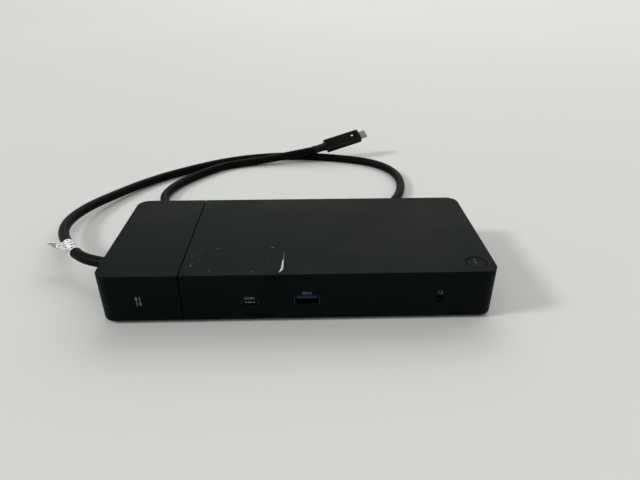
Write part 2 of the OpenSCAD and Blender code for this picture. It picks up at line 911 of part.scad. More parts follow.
// Sits behind the wall, on the board, with a blind bore
module headset_jack() {
    color(dark_plastic) translate([jack_x, front_y + wall + slip, 0]) difference() {
        translate([-jack_block[0] / 2, 0, board_top]) cube([jack_block[0], jack_l, jack_block[1]]);
        translate([0, -past, jack_z]) along_y(jack_bore_l + past) circle(jack_bore_r);
    }
}

module power_socket() {
    color(dark_plastic) translate([power_x, back_y - wall - slip, 0]) rotate([0, 0, 180]) difference() {
        translate([-power_block[0] / 2, 0, board_top]) cube([power_block[0], power_l, power_block[1]]);
        translate([0, -past, power_z]) along_y(power_bore_l + past) circle(power_bore_r);
    }
}

module power_pin() {
    color(steel) translate([power_x, back_y - wall - slip, power_z]) rotate([0, 0, 180])
        translate([0, power_pin_back, 0]) along_y(power_bore_l - power_pin_back) circle(power_pin_r);
}

// The hole for a network plug: the mouth and the step above it for the latch
module network_hole(depth) {
    translate([0, -past, 0]) along_y(depth + past) {
        square(network_mouth, center = true);
        translate([0, network_mouth[1] / 2]) square(network_latch, center = true);
    }
}

module network_shield() {
    color(steel) rear_port(network_x, network_z) difference() {
        along_y(network_l) network_outline(0);
        translate([0, network_face_t, 0]) along_y(network_l) network_outline(-shell_t);
        network_hole(network_depth);
    }
}

module network_insert() {
    color(dark_plastic) rear_port(network_x, network_z) difference() {
        translate([0, network_face_t + hair, 0]) along_y(network_l - network_face_t - hair)
            network_outline(-shell_t - hair);
        network_hole(network_depth);
    }
}

// Eight sprung wires along the floor of the network socket
module network_contacts() {
    color(gold) rear_port(network_x, network_z) for (i = [0 : contact_count - 1])
        translate([
            (i - (contact_count - 1) / 2) * contact_pitch - contact[0] / 2,
            network_depth - contact[1],
            -network_mouth[1] / 2
        ]) cube(contact);
}

// One shell with two mouths, one above the other
module rear_a_shell() {
    color(steel) rear_port(rear_a_x, type_a_z) difference() {
        union() {
            along_y(stack_l) stack_outline(0);
            solder_tabs(type_a[0] / 2, type_a_z - board_top);
        }
        for (z = [0, stack_rise])
            translate([0, -past, z]) along_y(stack_l + 2 * past) type_a_outline(-shell_t);
    }
}

module rear_a_tongues() {
    color(socket_blue) rear_port(rear_a_x, type_a_z)
        for (z = [0, stack_rise]) translate([0, 0, z]) type_a_tongue(stack_l);
}

module rear_c_shell() {
    rear_port(rear_c_x, type_c_z) type_c_shell();
}

module rear_c_tongue() {
    rear_port(rear_c_x, type_c_z) type_c_tongue();
}

module video_shell() {
    color(steel) rear_port(video_x, display_z) difference() {
        union() {
            along_y(video_l) video_outline(0);
            solder_tabs(video[0] / 2, display_z - board_top);
        }
        translate([0, -past, 0]) along_y(video_l + 2 * past) video_outline(-display_shell_t);
    }
}

// A plate tongue in the middle of a display socket
module display_tongue(length, width) {
    color(dark_plastic) {
        translate([0, length - display_root, 0]) along_y(display_root) children();
        block(
            [-width / 2, display_tongue_y, display_tongue_z[0]],
            [width / 2, length - display_root + root, display_tongue_z[1]]
        );
    }
}

module video_tongue() {
    rear_port(video_x, display_z) display_tongue(video_l, video_tongue_w)
        video_outline(-display_shell_t - hair);
}

module monitor_shells() {
    color(steel) for (x = monitor_xs) rear_port(x, display_z) difference() {
        union() {
            along_y(monitor_l) monitor_outline(0);
            solder_tabs(monitor[0] / 2, display_z - board_top);
        }
        translate([0, -past, 0]) along_y(monitor_l + 2 * past) monitor_outline(-display_shell_t);
    }
}

module monitor_tongues() {
    for (x = monitor_xs) rear_port(x, display_z) display_tongue(monitor_l, monitor_tongue_w)
        monitor_outline(-display_shell_t - hair);
}

// Cable module's inside

module module_board() {
    color(board_green) difference() {
        translate([0, 0, board_z]) linear_extrude(board_t)
            round_rect(
                [left_x + wall + board_gap[1], front_y + wall + board_gap[1]],
                [module_x - wall - board_gap[0], back_y - wall - board_gap[1]],
                board_corner
            );
        pegs(module_posts, board_z - past, board_t + 2 * past, post_r + post_room);
        pegs(module_standoffs, board_z - past, board_t + 2 * past, hole_r);
    }
}

module module_chip() {
    color(dark_plastic) translate([module_chip_at[0], module_chip_at[1], board_top])
        cube([module_chip_w, module_chip_w, chip_h]);
}

module module_shield() {
    color(steel) can(module_can[0], module_can[1]);
}

// Plug on the module board, its flat tongue reaching through the inner walls
module link_plug() {
    color(dark_plastic) {
        block(
            [link_plug_x, -link_w / 2, board_top],
            [module_x - wall - board_gap[0], link_w / 2, board_top + link_h]
        );
        block([link_tongue[0], -link_w / 2, link_z], [link_tongue[1], link_w / 2, link_z + link_t]);
    }
}

module link_socket() {
    color(dark_plastic) difference() {
        block(
            [main_x + wall + slip, -link_w / 2 - link_side, board_top],
            [link_socket_x, link_w / 2 + link_side, board_top + link_h]
        );
        block(
            [seam_x, -link_w / 2 - slip, link_z - slip],
            [link_tongue[1] + link_room, link_w / 2 + slip, link_z + link_t + slip]
        );
    }
}

module module_c_shell() {
    rear_port(module_c_x, type_c_z) type_c_shell();
}

module module_c_tongue() {
    rear_port(module_c_x, type_c_z) type_c_tongue();
}

module lock_plate() {
    color(steel) translate([right_x - wall - lock_plate_t - hair, lock_y, lock_z])
        along_x(lock_plate_t) difference() {
            square(lock_plate_size, center = true);
            oval(lock_slot + 2 * [slip, slip]);
        }
}

// Cable entry

// A round bar that follows the cable: straight through the wall, round the bend, then a straight tip.
// Each stretch laps into the next, and radii go down (or up) a little from one to the next
module entry_run(inner_x, radii, tip_l) {
    translate([left_x - lap, cable_y, cable_z]) rotate([0, 90, 0])
        cylinder(h = inner_x - left_x + lap, r = radii[0]);
    translate([left_x, cable_y + relief_bend, cable_z]) {
        rotate([0, 0, -90 - cable_tilt]) rotate_extrude(angle = cable_tilt)
            translate([relief_bend, 0]) circle(radii[1]);
        rotate([0, 0, -cable_tilt]) translate([lap, -relief_bend, 0]) rotate([0, -90, 0])
            cylinder(h = tip_l + lap, r1 = radii[2], r2 = radii[3]);
    }
}

module cable_relief() {
    flange_x = left_x + wall + hair;
    color(rubber) difference() {
        union() {
            entry_run(flange_x + relief_flange[1], relief_radii, relief_taper);
            translate([flange_x, cable_y, cable_z]) rotate([0, 90, 0])
                cylinder(h = relief_flange[1], r = relief_flange[0]);
        }
        entry_run(tail_x, relief_bore_radii, relief_taper + past);
    }
}

module cable_tail() {
    color(rubber) entry_run(tail_x, tail_radii, relief_taper);
}

// The wires start inside the jacket and fan out down to the board
module cable_wires() {
    for (i = [0 : wire_count - 1]) {
        step = i - (wire_count - 1) / 2;
        start = [tail_x - wire_in, cable_y + step * wire_pitch[0], cable_z];
        end = [tail_x + wire_l, cable_y + step * wire_pitch[1], wire_end_z];
        color(wire_colours[i]) rod(start, end, wire_r);
    }
}

// A saddle that pinches the jacket down to the module board
module cable_clamp() {
    color(steel) difference() {
        block(
            [clamp_x[0], cable_y - clamp_side, board_top],
            [clamp_x[1], cable_y + clamp_side, cable_z + cable_r + clamp_over]
        );
        translate([clamp_x[0] - past, cable_y, cable_z]) rotate([0, 90, 0])
            cylinder(h = clamp_x[1] - clamp_x[0] + 2 * past, r = relief_bore_radii[0]);
    }
}

// Host cable

// A smooth curve through the route: each stretch is blended from its two ends and their neighbours
function route_point(i) = route[max(0, min(len(route) - 1, i))];
function route_at(i, t) =
    let (a = route_point(i - 1), b = route_point(i), c = route_point(i + 1), d = route_point(i + 2))
    0.5 * (2 * b + (c - a) * t + (2 * a - 5 * b + 4 * c - d) * t * t + (3 * b - a - 3 * c + d) * t * t * t);
function unit(v) = v / norm(v);
function heading(turn) = [cos(turn[1]) * cos(turn[2]), cos(turn[1]) * sin(turn[2]), sin(turn[1])];

centres = concat(
    [for (i = [0 : len(route) - 2], t = [0, 0.5]) route_at(i, t)],
    [neck_start]
);
last = len(centres) - 1;
headings = [
    for (i = [0 : last])
        i == 0 ? [-cos(cable_tilt), sin(cable_tilt), 0]
        : i == last ? heading(plug_turn)
        : unit(centres[i + 1] - centres[i - 1])
];

// One ring of points round a centre, square to the heading there
function ring(i) =
    let (across = unit(cross(headings[i], [0, 0, 1])), up = cross(across, headings[i]))
    [for (k = [0 : cable_sides - 1])
        let (a = k * 360 / cable_sides) centres[i] + cable_r * (cos(a) * across + sin(a) * up)];

module dock_cable() {
    points = [for (i = [0 : last]) each ring(i)];
    sides = [
        for (i = [0 : last - 1], k = [0 : cable_sides - 1])
            let (a = i * cable_sides + k, b = i * cable_sides + (k + 1) % cable_sides)
            each [[a, a + cable_sides, b], [b, a + cable_sides, b + cable_sides]]
    ];
    first_end = [for (k = [0 : cable_sides - 1]) k];
    last_end = [for (k = [cable_sides - 1 : -1 : 0]) last * cable_sides + k];
    color(rubber) polyhedron(points, concat(sides, [first_end, last_end]), convexity = 10);
}

// A paper band round the cable with a pointed flag
module cable_tag() {
    inner = cable_r + tag_slip;
    color(paper_white) translate(tag_at) rotate([0, tag_dip, tag_heading]) {
        rotate([0, 90, 0]) translate([0, 0, -tag_l / 2]) difference() {
            cylinder(h = tag_l, r = inner + tag_t);
            translate([0, 0, -past]) cylinder(h = tag_l + 2 * past, r = inner);
        }
        rotate([flag_root, 0, 0]) translate([0, inner, 0]) rotate([flag_lift - flag_root, 0, 0])
            linear_extrude(tag_t) polygon([for (p = flag) [p[1], p[0]]]);
    }
}

// Plug, lying with its neck across the cable

// Local X runs from the neck to the tip
module in_plug() {
    translate(neck_start) rotate([plug_turn[0], -plug_turn[1], plug_turn[2]]) children();
}

module plug_neck() {
    color(rubber) in_plug() rotate([0, 90, 0]) {
        cylinder(h = neck_l, r1 = neck_r[0], r2 = neck_r[1]);
        cylinder(h = collar_l, r = neck_r[1]);
    }
}

module plug_body() {
    color(black_plastic) in_plug() difference() {
        translate([neck_l, 0, 0]) along_x(plug_l)
            round_rect([-plug_w / 2, -plug_t / 2], [plug_w / 2, plug_t / 2], plug_corner);
        translate([neck_l + plug_l - light_from_front, 0, plug_t / 2 - light[2]])
            linear_extrude(light[2] + past) square([light[0], light[1]], center = true);
    }
}

module plug_shell() {
    color(steel) in_plug() translate([neck_l + plug_l, 0, 0]) difference() {
        along_x(tip[2]) oval([tip[0], tip[1]]);
        translate([tip_back, 0, 0]) along_x(tip[2]) oval([tip[0] - 2 * tip_wall, tip[1] - 2 * tip_wall]);
    }
}

module plug_light() {
    color(paper_white) in_plug()
        translate([neck_l + plug_l - light_from_front, 0, plug_t / 2 - light[2]])
            linear_extrude(light[2]) square([light[0], light[1]], center = true);
}

top_cover();
base_cover();
main_feet();
module_cover();
module_base();
module_feet();
coupling_plates();
coupling_screws();
base_screws();
module_screws();
power_button();
switch_body();
switch_plunger();
main_board();
board_screws();
main_chips();
thermal_pads();
heat_spreader();
shield_can();
fan_housing();
fan_stator();
fan_impeller();
fan_lid();
front_c_shell();
front_c_tongue();
front_a_shell();
front_a_tongue();
headset_jack();
power_socket();
power_pin();
network_shield();
network_insert();
network_contacts();
rear_a_shell();
rear_a_tongues();
rear_c_shell();
rear_c_tongue();
video_shell();
video_tongue();
monitor_shells();
monitor_tongues();
module_board();
module_chip();
module_shield();
link_plug();
link_socket();
module_c_shell();
module_c_tongue();
lock_plate();
cable_relief();
cable_tail();
cable_wires();
cable_clamp();
dock_cable();
cable_tag();
plug_neck();
plug_body();
plug_shell();
plug_light();
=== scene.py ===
# %% [markdown]
# # Dressing a laptop docking station
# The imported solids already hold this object's real size: a low black slab with sockets front and back, a
# screwed-on cable module at its left end, a round button, and a host cable that ends in a plug. This lesson
# keeps those solids, gives each one a finish, and adds the pieces that a solid alone shows too plainly.
# Everything is in millimetres here and turned into metres at the last step.

# %% Load the frame
import math

import bmesh
import bpy
import numpy as np
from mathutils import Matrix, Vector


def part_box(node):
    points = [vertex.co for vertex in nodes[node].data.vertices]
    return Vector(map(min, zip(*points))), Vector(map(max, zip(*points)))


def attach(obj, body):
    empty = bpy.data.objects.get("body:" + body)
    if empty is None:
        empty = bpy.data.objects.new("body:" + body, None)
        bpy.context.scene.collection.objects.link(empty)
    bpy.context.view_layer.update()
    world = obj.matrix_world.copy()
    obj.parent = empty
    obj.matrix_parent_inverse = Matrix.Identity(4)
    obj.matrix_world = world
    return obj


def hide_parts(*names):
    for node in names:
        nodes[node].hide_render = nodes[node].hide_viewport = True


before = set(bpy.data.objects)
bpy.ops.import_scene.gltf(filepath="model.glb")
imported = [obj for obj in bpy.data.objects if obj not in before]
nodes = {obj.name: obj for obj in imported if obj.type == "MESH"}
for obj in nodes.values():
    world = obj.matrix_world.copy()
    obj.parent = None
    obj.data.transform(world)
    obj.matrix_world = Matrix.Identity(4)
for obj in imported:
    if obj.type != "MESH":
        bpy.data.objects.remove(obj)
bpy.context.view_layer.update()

MM = 0.001


def box_mm(name):
    """Lowest and highest corner of a solid, in millimetres."""
    return [np.array(corner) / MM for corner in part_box(name)]


def middle(name):
    """The middle of a solid's box, in millimetres."""
    return np.mean(box_mm(name), axis=0)


main_low, main_high = box_mm("top_cover")
left_x, right_x = box_mm("module_cover")[0][0], main_high[0]
front_y, back_y = main_low[1], main_high[1]
top_z = main_high[2]
print(len(nodes), "solids; housing", np.round([right_x - left_x, back_y - front_y, top_z], 1), "mm")

# %% [markdown]
# ## Camera
# The photograph was taken by hand from in front and above. Its camera was found by fitting the slab's
# straight edges and rounded corners, so the numbers below are a place, three turns and a lens for a 36 mm
# sensor. A tracked camera target would be easier to read, but would not keep the small lean of a
# hand-held picture.

# %% Camera
CAMERA_PLACE = np.array([4.155, -261.2, 170.44])
CAMERA_TURNS = (60.633, -0.104, -1.743)
LENS, SENSOR, NEAR_CLIP = 29.03, 36.0, 0.01

camera_data = bpy.data.cameras.new("camera")
camera_data.sensor_width = SENSOR
camera_data.lens = LENS
camera_data.clip_start = NEAR_CLIP
camera = bpy.data.objects.new("camera", camera_data)
camera.location = CAMERA_PLACE * MM
camera.rotation_euler = [math.radians(turn) for turn in CAMERA_TURNS]
bpy.context.scene.collection.objects.link(camera)
bpy.context.scene.camera = camera
print("camera", np.round(np.linalg.norm(CAMERA_PLACE)), "mm from the origin")

# %% [markdown]
# ## Surfaces from grids
# Every new piece below is a grid of points: one direction follows a path, the other goes round a profile.
# The arrays are computed whole, so a piece is a formula that can be read, and the same few lines turn any
# grid into a mesh. Modelling by hand would be quicker for one plug, but these shapes follow the solids'
# own numbers.

# %% Surfaces from grids
def unit(vectors):
    """Each vector divided by its own length."""
    return vectors / np.linalg.norm(vectors, axis=-1, keepdims=True)


def grid_surface(grid, closed=False, u=None, v=None):
    """A surface from points in rows and columns, as (points, corners, face sizes, map).
    Neighbours become quads and the last column joins the first. A closed grid also joins its last row
    to its first; otherwise both end rows get a cap. The map runs round the columns in u and along the
    rows in v, each from 0 to 1 unless its own places are given."""
    rows, columns = grid.shape[:2]
    u = np.linspace(0, 1, columns + 1) if u is None else u
    v = np.linspace(0, 1, rows + closed) if v is None else v
    r, c = np.meshgrid(np.arange(rows - 1 + closed), np.arange(columns), indexing="ij")
    corner_r = np.stack([r, r + 1, r + 1, r], axis=-1).reshape(-1, 4)
    corner_c = np.stack([c, c, c + 1, c + 1], axis=-1).reshape(-1, 4)
    corners = (corner_r % rows * columns + corner_c % columns).ravel()
    sizes = np.full(len(corner_r), 4)
    uv = np.stack([u[corner_c], v[corner_r]], axis=-1).reshape(-1, 2)
    if not closed:
        cap = np.arange(columns)
        corners = np.concatenate([corners, cap[::-1], cap + (rows - 1) * columns])
        sizes = np.concatenate([sizes, [columns, columns]])
        uv = np.concatenate([uv, np.zeros((2 * columns, 2))])
    return grid.reshape(-1, 3), corners, sizes, uv


def join_surfaces(surfaces):
    """Several surfaces as one: the arrays end to end, with each one's corners moved on."""
    points, corners, sizes, uv = zip(*surfaces)
    starts = np.cumsum([0] + [len(p) for p in points])
    moved = [c + start for c, start in zip(corners, starts)]
    return tuple(np.concatenate(arrays) for arrays in (points, moved, sizes, uv))


print("surface helpers ready")

# %% From surface to piece
MERGE_DISTANCE = 0.001 * MM


def make_piece(name, surface, material, body="housing", sharp=40):
    """A mesh object from a surface: doubles merged, faces turned outwards, and edges of more than
    `sharp` degrees kept hard."""
    points, corners, sizes, uv = surface
    mesh = bpy.data.meshes.new(name)
    mesh.vertices.add(len(points))
    mesh.vertices.foreach_set("co", (points * MM).ravel())
    mesh.loops.add(len(corners))
    mesh.loops.foreach_set("vertex_index", corners)
    mesh.polygons.add(len(sizes))
    mesh.polygons.foreach_set("loop_start", np.cumsum(sizes) - sizes)
    mesh.uv_layers.new(name="map").data.foreach_set("uv", uv.ravel())
    mesh.update(calc_edges=True)
    work = bmesh.new()
    work.from_mesh(mesh)
    bmesh.ops.remove_doubles(work, verts=work.verts, dist=MERGE_DISTANCE)
    bmesh.ops.recalc_face_normals(work, faces=work.faces)
    work.to_mesh(mesh)
    work.free()
    mesh.polygons.foreach_set("use_smooth", np.ones(len(mesh.polygons), bool))
    mesh.set_sharp_from_angle(angle=math.radians(sharp))
    mesh.materials.append(material)
    piece = bpy.data.objects.new(name, mesh)
    bpy.context.scene.collection.objects.link(piece)
    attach(piece, body)
    print(f"{name}: {len(mesh.vertices)} points, {len(mesh.polygons)} faces")
    return piece


print("piece helper ready")

# %% Profiles along a path
def carry(path, offsets):
    """A profile carried along a path: each point is path + across * a + over * b.
    Across lies level and square to the path, over is square to both."""
    tangent = unit(np.gradient(path, axis=0))
    across = unit(np.cross(tangent, [0, 0, 1]))
    over = np.cross(across, tangent)
    return path[:, None] + offsets[..., :1] * across[:, None] + offsets[..., 1:] * over[:, None]


def circle(sides):
    """Points round a unit circle."""
    turn = np.linspace(0, 2 * np.pi, sides, endpoint=False)
    return np.stack([np.cos(turn), np.sin(turn)], axis=-1)


print("path helpers ready")

# %% [markdown]
# ## Effects that several finishes share
# Moulded plastic has a fine spark texture, handled plastic has smudges and specks, bent steel has draw
# lines. Each is one node group with named sockets, built once and placed in every finish that needs it
# with its own values. The groups only put out values; the shader stays in the material.

# %% Node helpers
def feed(tree, socket, value):
    """Puts a link or a plain value into a socket."""
    if isinstance(value, bpy.types.NodeSocket):
        tree.links.new(value, socket)
    else:
        socket.default_value = value


def node(tree, kind, inputs=None, **settings):
    """A new shader node with its settings, and inputs given as values or as links."""
    made = tree.nodes.new("ShaderNode" + kind)
    for key, value in settings.items():
        setattr(made, key, value)
    for key, value in (inputs or {}).items():
        feed(tree, made.inputs[key], value)
    return made


print("node helper ready")

# %% Sums and ranges
def math_node(tree, operation, a, b=0.0, clamp=False):
    """The value of a sum, product or other step on two numbers."""
    return node(tree, "Math", {0: a, 1: b}, operation=operation, use_clamp=clamp).outputs[0]


def times(tree, a, b):
    """The product of two numbers."""
    return math_node(tree, "MULTIPLY", a, b)


def plus(tree, a, b, clamp=False):
    """The sum of two numbers, held between 0 and 1 if wanted."""
    return math_node(tree, "ADD", a, b, clamp)


def minus(tree, a, b):
    """The difference of two numbers."""
    return math_node(tree, "SUBTRACT", a, b)


def divided(tree, a, b, clamp=False):
    """One number divided by another, held between 0 and 1 if wanted."""
    return math_node(tree, "DIVIDE", a, b, clamp)


def remap(tree, value, low, high, to_low=0.0, to_high=1.0):
    """A value taken smoothly from one range to another, and held there outside it."""
    return node(
        tree, "MapRange", {"Value": value, 1: low, 2: high, 3: to_low, 4: to_high},
        interpolation_type="SMOOTHSTEP",
    ).outputs[0]


print("sums ready")

# %% Noise and groups
def noise(tree, place, scale, detail=2.0, distortion=0.0):
    """Smooth noise with `scale` blots to the metre."""
    inputs = {"Vector": place, "Scale": scale, "Detail": detail, "Distortion": distortion}
    return node(tree, "TexNoise", inputs).outputs["Fac"]


def new_group(name, inputs, outputs):
    """An empty group with named sockets: returns it with its start and end sockets."""
    group = bpy.data.node_groups.new(name, "ShaderNodeTree")
    for socket, (kind, value) in inputs.items():
        made = group.interface.new_socket(socket, in_out="INPUT", socket_type="NodeSocket" + kind)
        made.default_value = value
    for socket in outputs:
        group.interface.new_socket(socket, in_out="OUTPUT", socket_type="NodeSocketFloat")
    return group, group.nodes.new("NodeGroupInput").outputs, group.nodes.new("NodeGroupOutput").inputs


def use(tree, group, **inputs):
    """A group placed in a tree, with underscores in the input names read as spaces."""
    spaced = {key.replace("_", " "): value for key, value in inputs.items()}
    return node(tree, "Group", spaced, node_tree=group).outputs


ORIGIN = (0.0, 0.0, 0.0)
print("group helpers ready")

# %% Spark texture of moulded plastic
# Shade goes a little above and below 1 and Height from 0 to 1, both from two sizes of noise.
FINER, FINE_SHARE = 2.7, 0.5
moulded_grain, start, end = new_group(
    "moulded_grain",
    {"Place": ("Vector", ORIGIN), "Size": ("Float", 0.4 * MM), "Contrast": ("Float", 0.1)},
    ["Shade", "Height"],
)
tree = moulded_grain
scale = divided(tree, 1.0, start["Size"])
coarse = noise(tree, start["Place"], scale)
fine = noise(tree, start["Place"], times(tree, scale, FINER), detail=1.0)
height = remap(tree, plus(tree, coarse, times(tree, fine, FINE_SHARE)), 0.5, 1.0)
swing = times(tree, minus(tree, height, 0.5), start["Contrast"])
tree.links.new(plus(tree, swing, 1.0), end["Shade"])
tree.links.new(height, end["Height"])
print("group", moulded_grain.name)

# %% Smudges and specks of handling
# Smudge is wide soft noise kept above a threshold. Specks are round spots at the middles of noise cells:
# Spot is their radius as a share of a cell, and Kept the share of cells that have one.
SMUDGE_FROM, SMUDGE_FULL = 0.42, 0.72
SPOT_OUTER, SPOT_INNER = 1.3, 0.7
handling, start, end = new_group(
    "handling",
    {"Place": ("Vector", ORIGIN), "Smudge Size": ("Float", 40 * MM), "Speck Size": ("Float", 5 * MM),
     "Spot": ("Float", 0.06), "Kept": ("Float", 0.2)},
    ["Smudge", "Specks"],
)
tree = handling
smudge_scale = divided(tree, 1.0, start["Smudge Size"])
wide = noise(tree, start["Place"], smudge_scale, detail=3.0, distortion=0.6)
tree.links.new(remap(tree, wide, SMUDGE_FROM, SMUDGE_FULL), end["Smudge"])
cell_scale = divided(tree, 1.0, start["Speck Size"])
cells = node(tree, "TexVoronoi", {"Vector": start["Place"], "Scale": cell_scale}).outputs
from_middle = divided(tree, cells["Distance"], start["Spot"])
spot = remap(tree, from_middle, SPOT_OUTER, SPOT_INNER)
chance = node(tree, "SeparateColor", {0: cells["Color"]}).outputs[0]
kept = math_node(tree, "LESS_THAN", chance, start["Kept"])
tree.links.new(times(tree, spot, kept), end["Specks"])
print("group", handling.name)

# %% One scratch
# The nearest place t on a line from Start to End gives the width there; Mask is 1 inside that width,
# which noise makes ragged.
RAGGED_SIZE = 0.6 * MM
MASK_OUTER, MASK_INNER = 1.15, 0.75
scratch, start, end = new_group(
    "scratch",
    {"Place": ("Vector", ORIGIN), "Start": ("Vector", ORIGIN), "End": ("Vector", ORIGIN),
     "Start Width": ("Float", 0.3 * MM), "End Width": ("Float", 0.3 * MM)},
    ["Mask"],
)
tree = scratch


def vector(operation, a, b, output=0):
    """One step of vector arithmetic in the group that is being built."""
    return node(tree, "VectorMath", {0: a, 1: b}, operation=operation).outputs[output]


line = vector("SUBTRACT", start["End"], start["Start"])
reach = vector("SUBTRACT", start["Place"], start["Start"])
line_square = vector("DOT_PRODUCT", line, line, "Value")
along_line = divided(tree, vector("DOT_PRODUCT", reach, line, "Value"), line_square, clamp=True)
foot = node(tree, "VectorMath", {0: line, "Scale": along_line}, operation="SCALE").outputs[0]
distance = vector("LENGTH", vector("SUBTRACT", reach, foot), ORIGIN, "Value")
widening = minus(tree, start["End Width"], start["Start Width"])
width = plus(tree, times(tree, remap(tree, along_line, 0.0, 1.0), widening), start["Start Width"])
ragged = noise(tree, start["Place"], 1 / RAGGED_SIZE, detail=3.0)
half_width = times(tree, width, remap(tree, ragged, 0.2, 0.8, 0.35, 0.65))
tree.links.new(remap(tree, divided(tree, distance, half_width), MASK_OUTER, MASK_INNER), end["Mask"])
print("group", scratch.name)

# %% Draw lines of bent and rolled metal
# Noise is stretched along X into fine lines, and wide blots are added. Both together vary Roughness and
# Shade; Height follows the lines alone.
LINE_SCALE = (150, 9000, 9000)
BLOT_SIZE, BLOT_SHADE = 4 * MM, 0.25
drawn_metal, start, end = new_group(
    "drawn_metal",
    {"Place": ("Vector", ORIGIN), "Roughness": ("Float", 0.3), "Spread": ("Float", 0.1)},
    ["Roughness", "Shade", "Height"],
)
tree = drawn_metal
stretched = node(tree, "Mapping", {"Vector": start["Place"], "Scale": LINE_SCALE}).outputs[0]
lines = noise(tree, stretched, 1.0, detail=3.0)
blots = noise(tree, start["Place"], 1 / BLOT_SIZE)
centred = minus(tree, plus(tree, lines, blots), 1.0)
rough = plus(tree, start["Roughness"], times(tree, centred, start["Spread"]), clamp=True)
tree.links.new(rough, end["Roughness"])
tree.links.new(plus(tree, 1.0, times(tree, centred, BLOT_SHADE)), end["Shade"])
tree.links.new(lines, end["Height"])
print("group", drawn_metal.name)

# %% [markdown]
# ## Finishes
# A finish starts as a shader with its fixed numbers on its own sockets. Then a helper scales the colour
# by a value that changes over the surface, and another adds the relief. Everything reads Object
# coordinates, which are the part's own frame because every object sits at the origin.

# %% Finish helpers
def finish(name, roughness, metallic=0.0, specular=0.5):
    """A new material: (material, tree, shader, place on the object)."""
    material = bpy.data.materials.new(name)
    material.use_nodes = True
    tree = material.node_tree
    shader = tree.nodes["Principled BSDF"]
    shader.inputs["Roughness"].default_value = roughness
    shader.inputs["Metallic"].default_value = metallic
    shader.inputs["Specular IOR Level"].default_value = specular
    return material, tree, shader, node(tree, "TexCoord").outputs["Object"]


def shaded(tree, colour, value):
    """A colour made lighter or darker by a value near 1."""
    return node(tree, "VectorMath", {0: colour, "Scale": value}, operation="SCALE").outputs[0]


def mixed(tree, factor, a, b):
    """Colour a where the factor is 0, colour b where it is 1."""
    made = node(tree, "Mix", {0: factor}, data_type="RGBA")
    for index, colour in ((6, a), (7, b)):
        linked = isinstance(colour, bpy.types.NodeSocket)
        feed(tree, made.inputs[index], colour if linked else (*colour, 1))
    return made.outputs[2]


def relief(tree, shader, height, depth):
    """Small relief in the shader's normal: heights from 0 to 1 over `depth` metres."""
    bump = node(tree, "Bump", {"Height": height, "Distance": depth, "Strength": 1.0})
    tree.links.new(bump.outputs[0], shader.inputs["Normal"])


print("finish helpers ready")

# %% Recipes for plain finishes
SPARK_DEPTH, LINE_DEPTH = 0.012 * MM, 0.002 * MM
DUST_COLOUR = (0.3, 0.3, 0.29)
HANDLED_GLOSS = 0.08


def moulded(name, colour, roughness, size=0.4, contrast=0.12, specular=0.4, dusty=0.0):
    """Plain moulded plastic or rubber: spark texture of `size` millimetres, smudges, and dust if wanted."""
    material, tree, shader, place = finish(name, roughness, specular=specular)
    grain = use(tree, moulded_grain, Place=place, Size=size * MM, Contrast=contrast)
    handled = use(tree, handling, Place=place, Smudge_Size=14 * MM, Speck_Size=2.5 * MM)
    tone = shaded(tree, colour, grain["Shade"])
    if dusty:
        tone = mixed(tree, times(tree, handled["Specks"], dusty), tone, DUST_COLOUR)
    tree.links.new(tone, shader.inputs["Base Color"])
    rough = plus(tree, times(tree, handled["Smudge"], -HANDLED_GLOSS), roughness)
    tree.links.new(rough, shader.inputs["Roughness"])
    relief(tree, shader, grain["Height"], SPARK_DEPTH)
    return material


def drawn(name, colour, roughness, spread=0.1):
    """Plain metal: colour, roughness and relief follow the draw lines."""
    material, tree, shader, place = finish(name, roughness, metallic=1.0)
    metal = use(tree, drawn_metal, Place=place, Roughness=roughness, Spread=spread)
    tree.links.new(shaded(tree, colour, metal["Shade"]), shader.inputs["Base Color"])
    tree.links.new(metal["Roughness"], shader.inputs["Roughness"])
    relief(tree, shader, metal["Height"], LINE_DEPTH)
    return material


def mottled(name, roughness, specular, size, dark, pale, span=(0.3, 0.7), detail=2.0):
    """A finish whose colour drifts between two near tones, in blots about `size` metres across."""
    material, tree, shader, place = finish(name, roughness, specular=specular)
    blots = noise(tree, place, 1 / size, detail=detail)
    tree.links.new(mixed(tree, remap(tree, blots, *span), dark, pale), shader.inputs["Base Color"])
    return material


print("recipes ready")

# %% [markdown]
# ## Host cable
# The cable is a fixed length of black jacketed wire, 6.6 mm across. It leaves the left side, swings back
# and lies on the table, makes a loop behind the housing and comes back over itself to its plug. A curve
# object with a bevel would do, but a tube from its own points also gives the jacket a map that follows
# its length.

# %% Where the cable leaves
CABLE_R = 3.3
CABLE_Y, CABLE_Z = -9.5, 14.5
RELIEF_BEND = 20.0
RELIEF_TILT = math.radians(23)
RELIEF_TIP = 1.2
relief_length = RELIEF_BEND * RELIEF_TILT + RELIEF_TIP


def relief_path(run):
    """Places along the strain relief: straight inside the wall, an arc of the bend radius, a straight tip."""
    turn = np.clip(run / RELIEF_BEND, 0, RELIEF_TILT)
    inside = np.minimum(run, 0)
    tip = np.maximum(run - RELIEF_BEND * RELIEF_TILT, 0)
    x = left_x - RELIEF_BEND * np.sin(turn) - inside - tip * math.cos(RELIEF_TILT)
    y = CABLE_Y + RELIEF_BEND * (1 - np.cos(turn)) + tip * math.sin(RELIEF_TILT)
    return np.stack([x, y, np.full_like(run, CABLE_Z)], axis=-1)


RELIEF_END = relief_path(np.array([relief_length]))[0]
print("the boot ends at", np.round(RELIEF_END, 1), "mm")

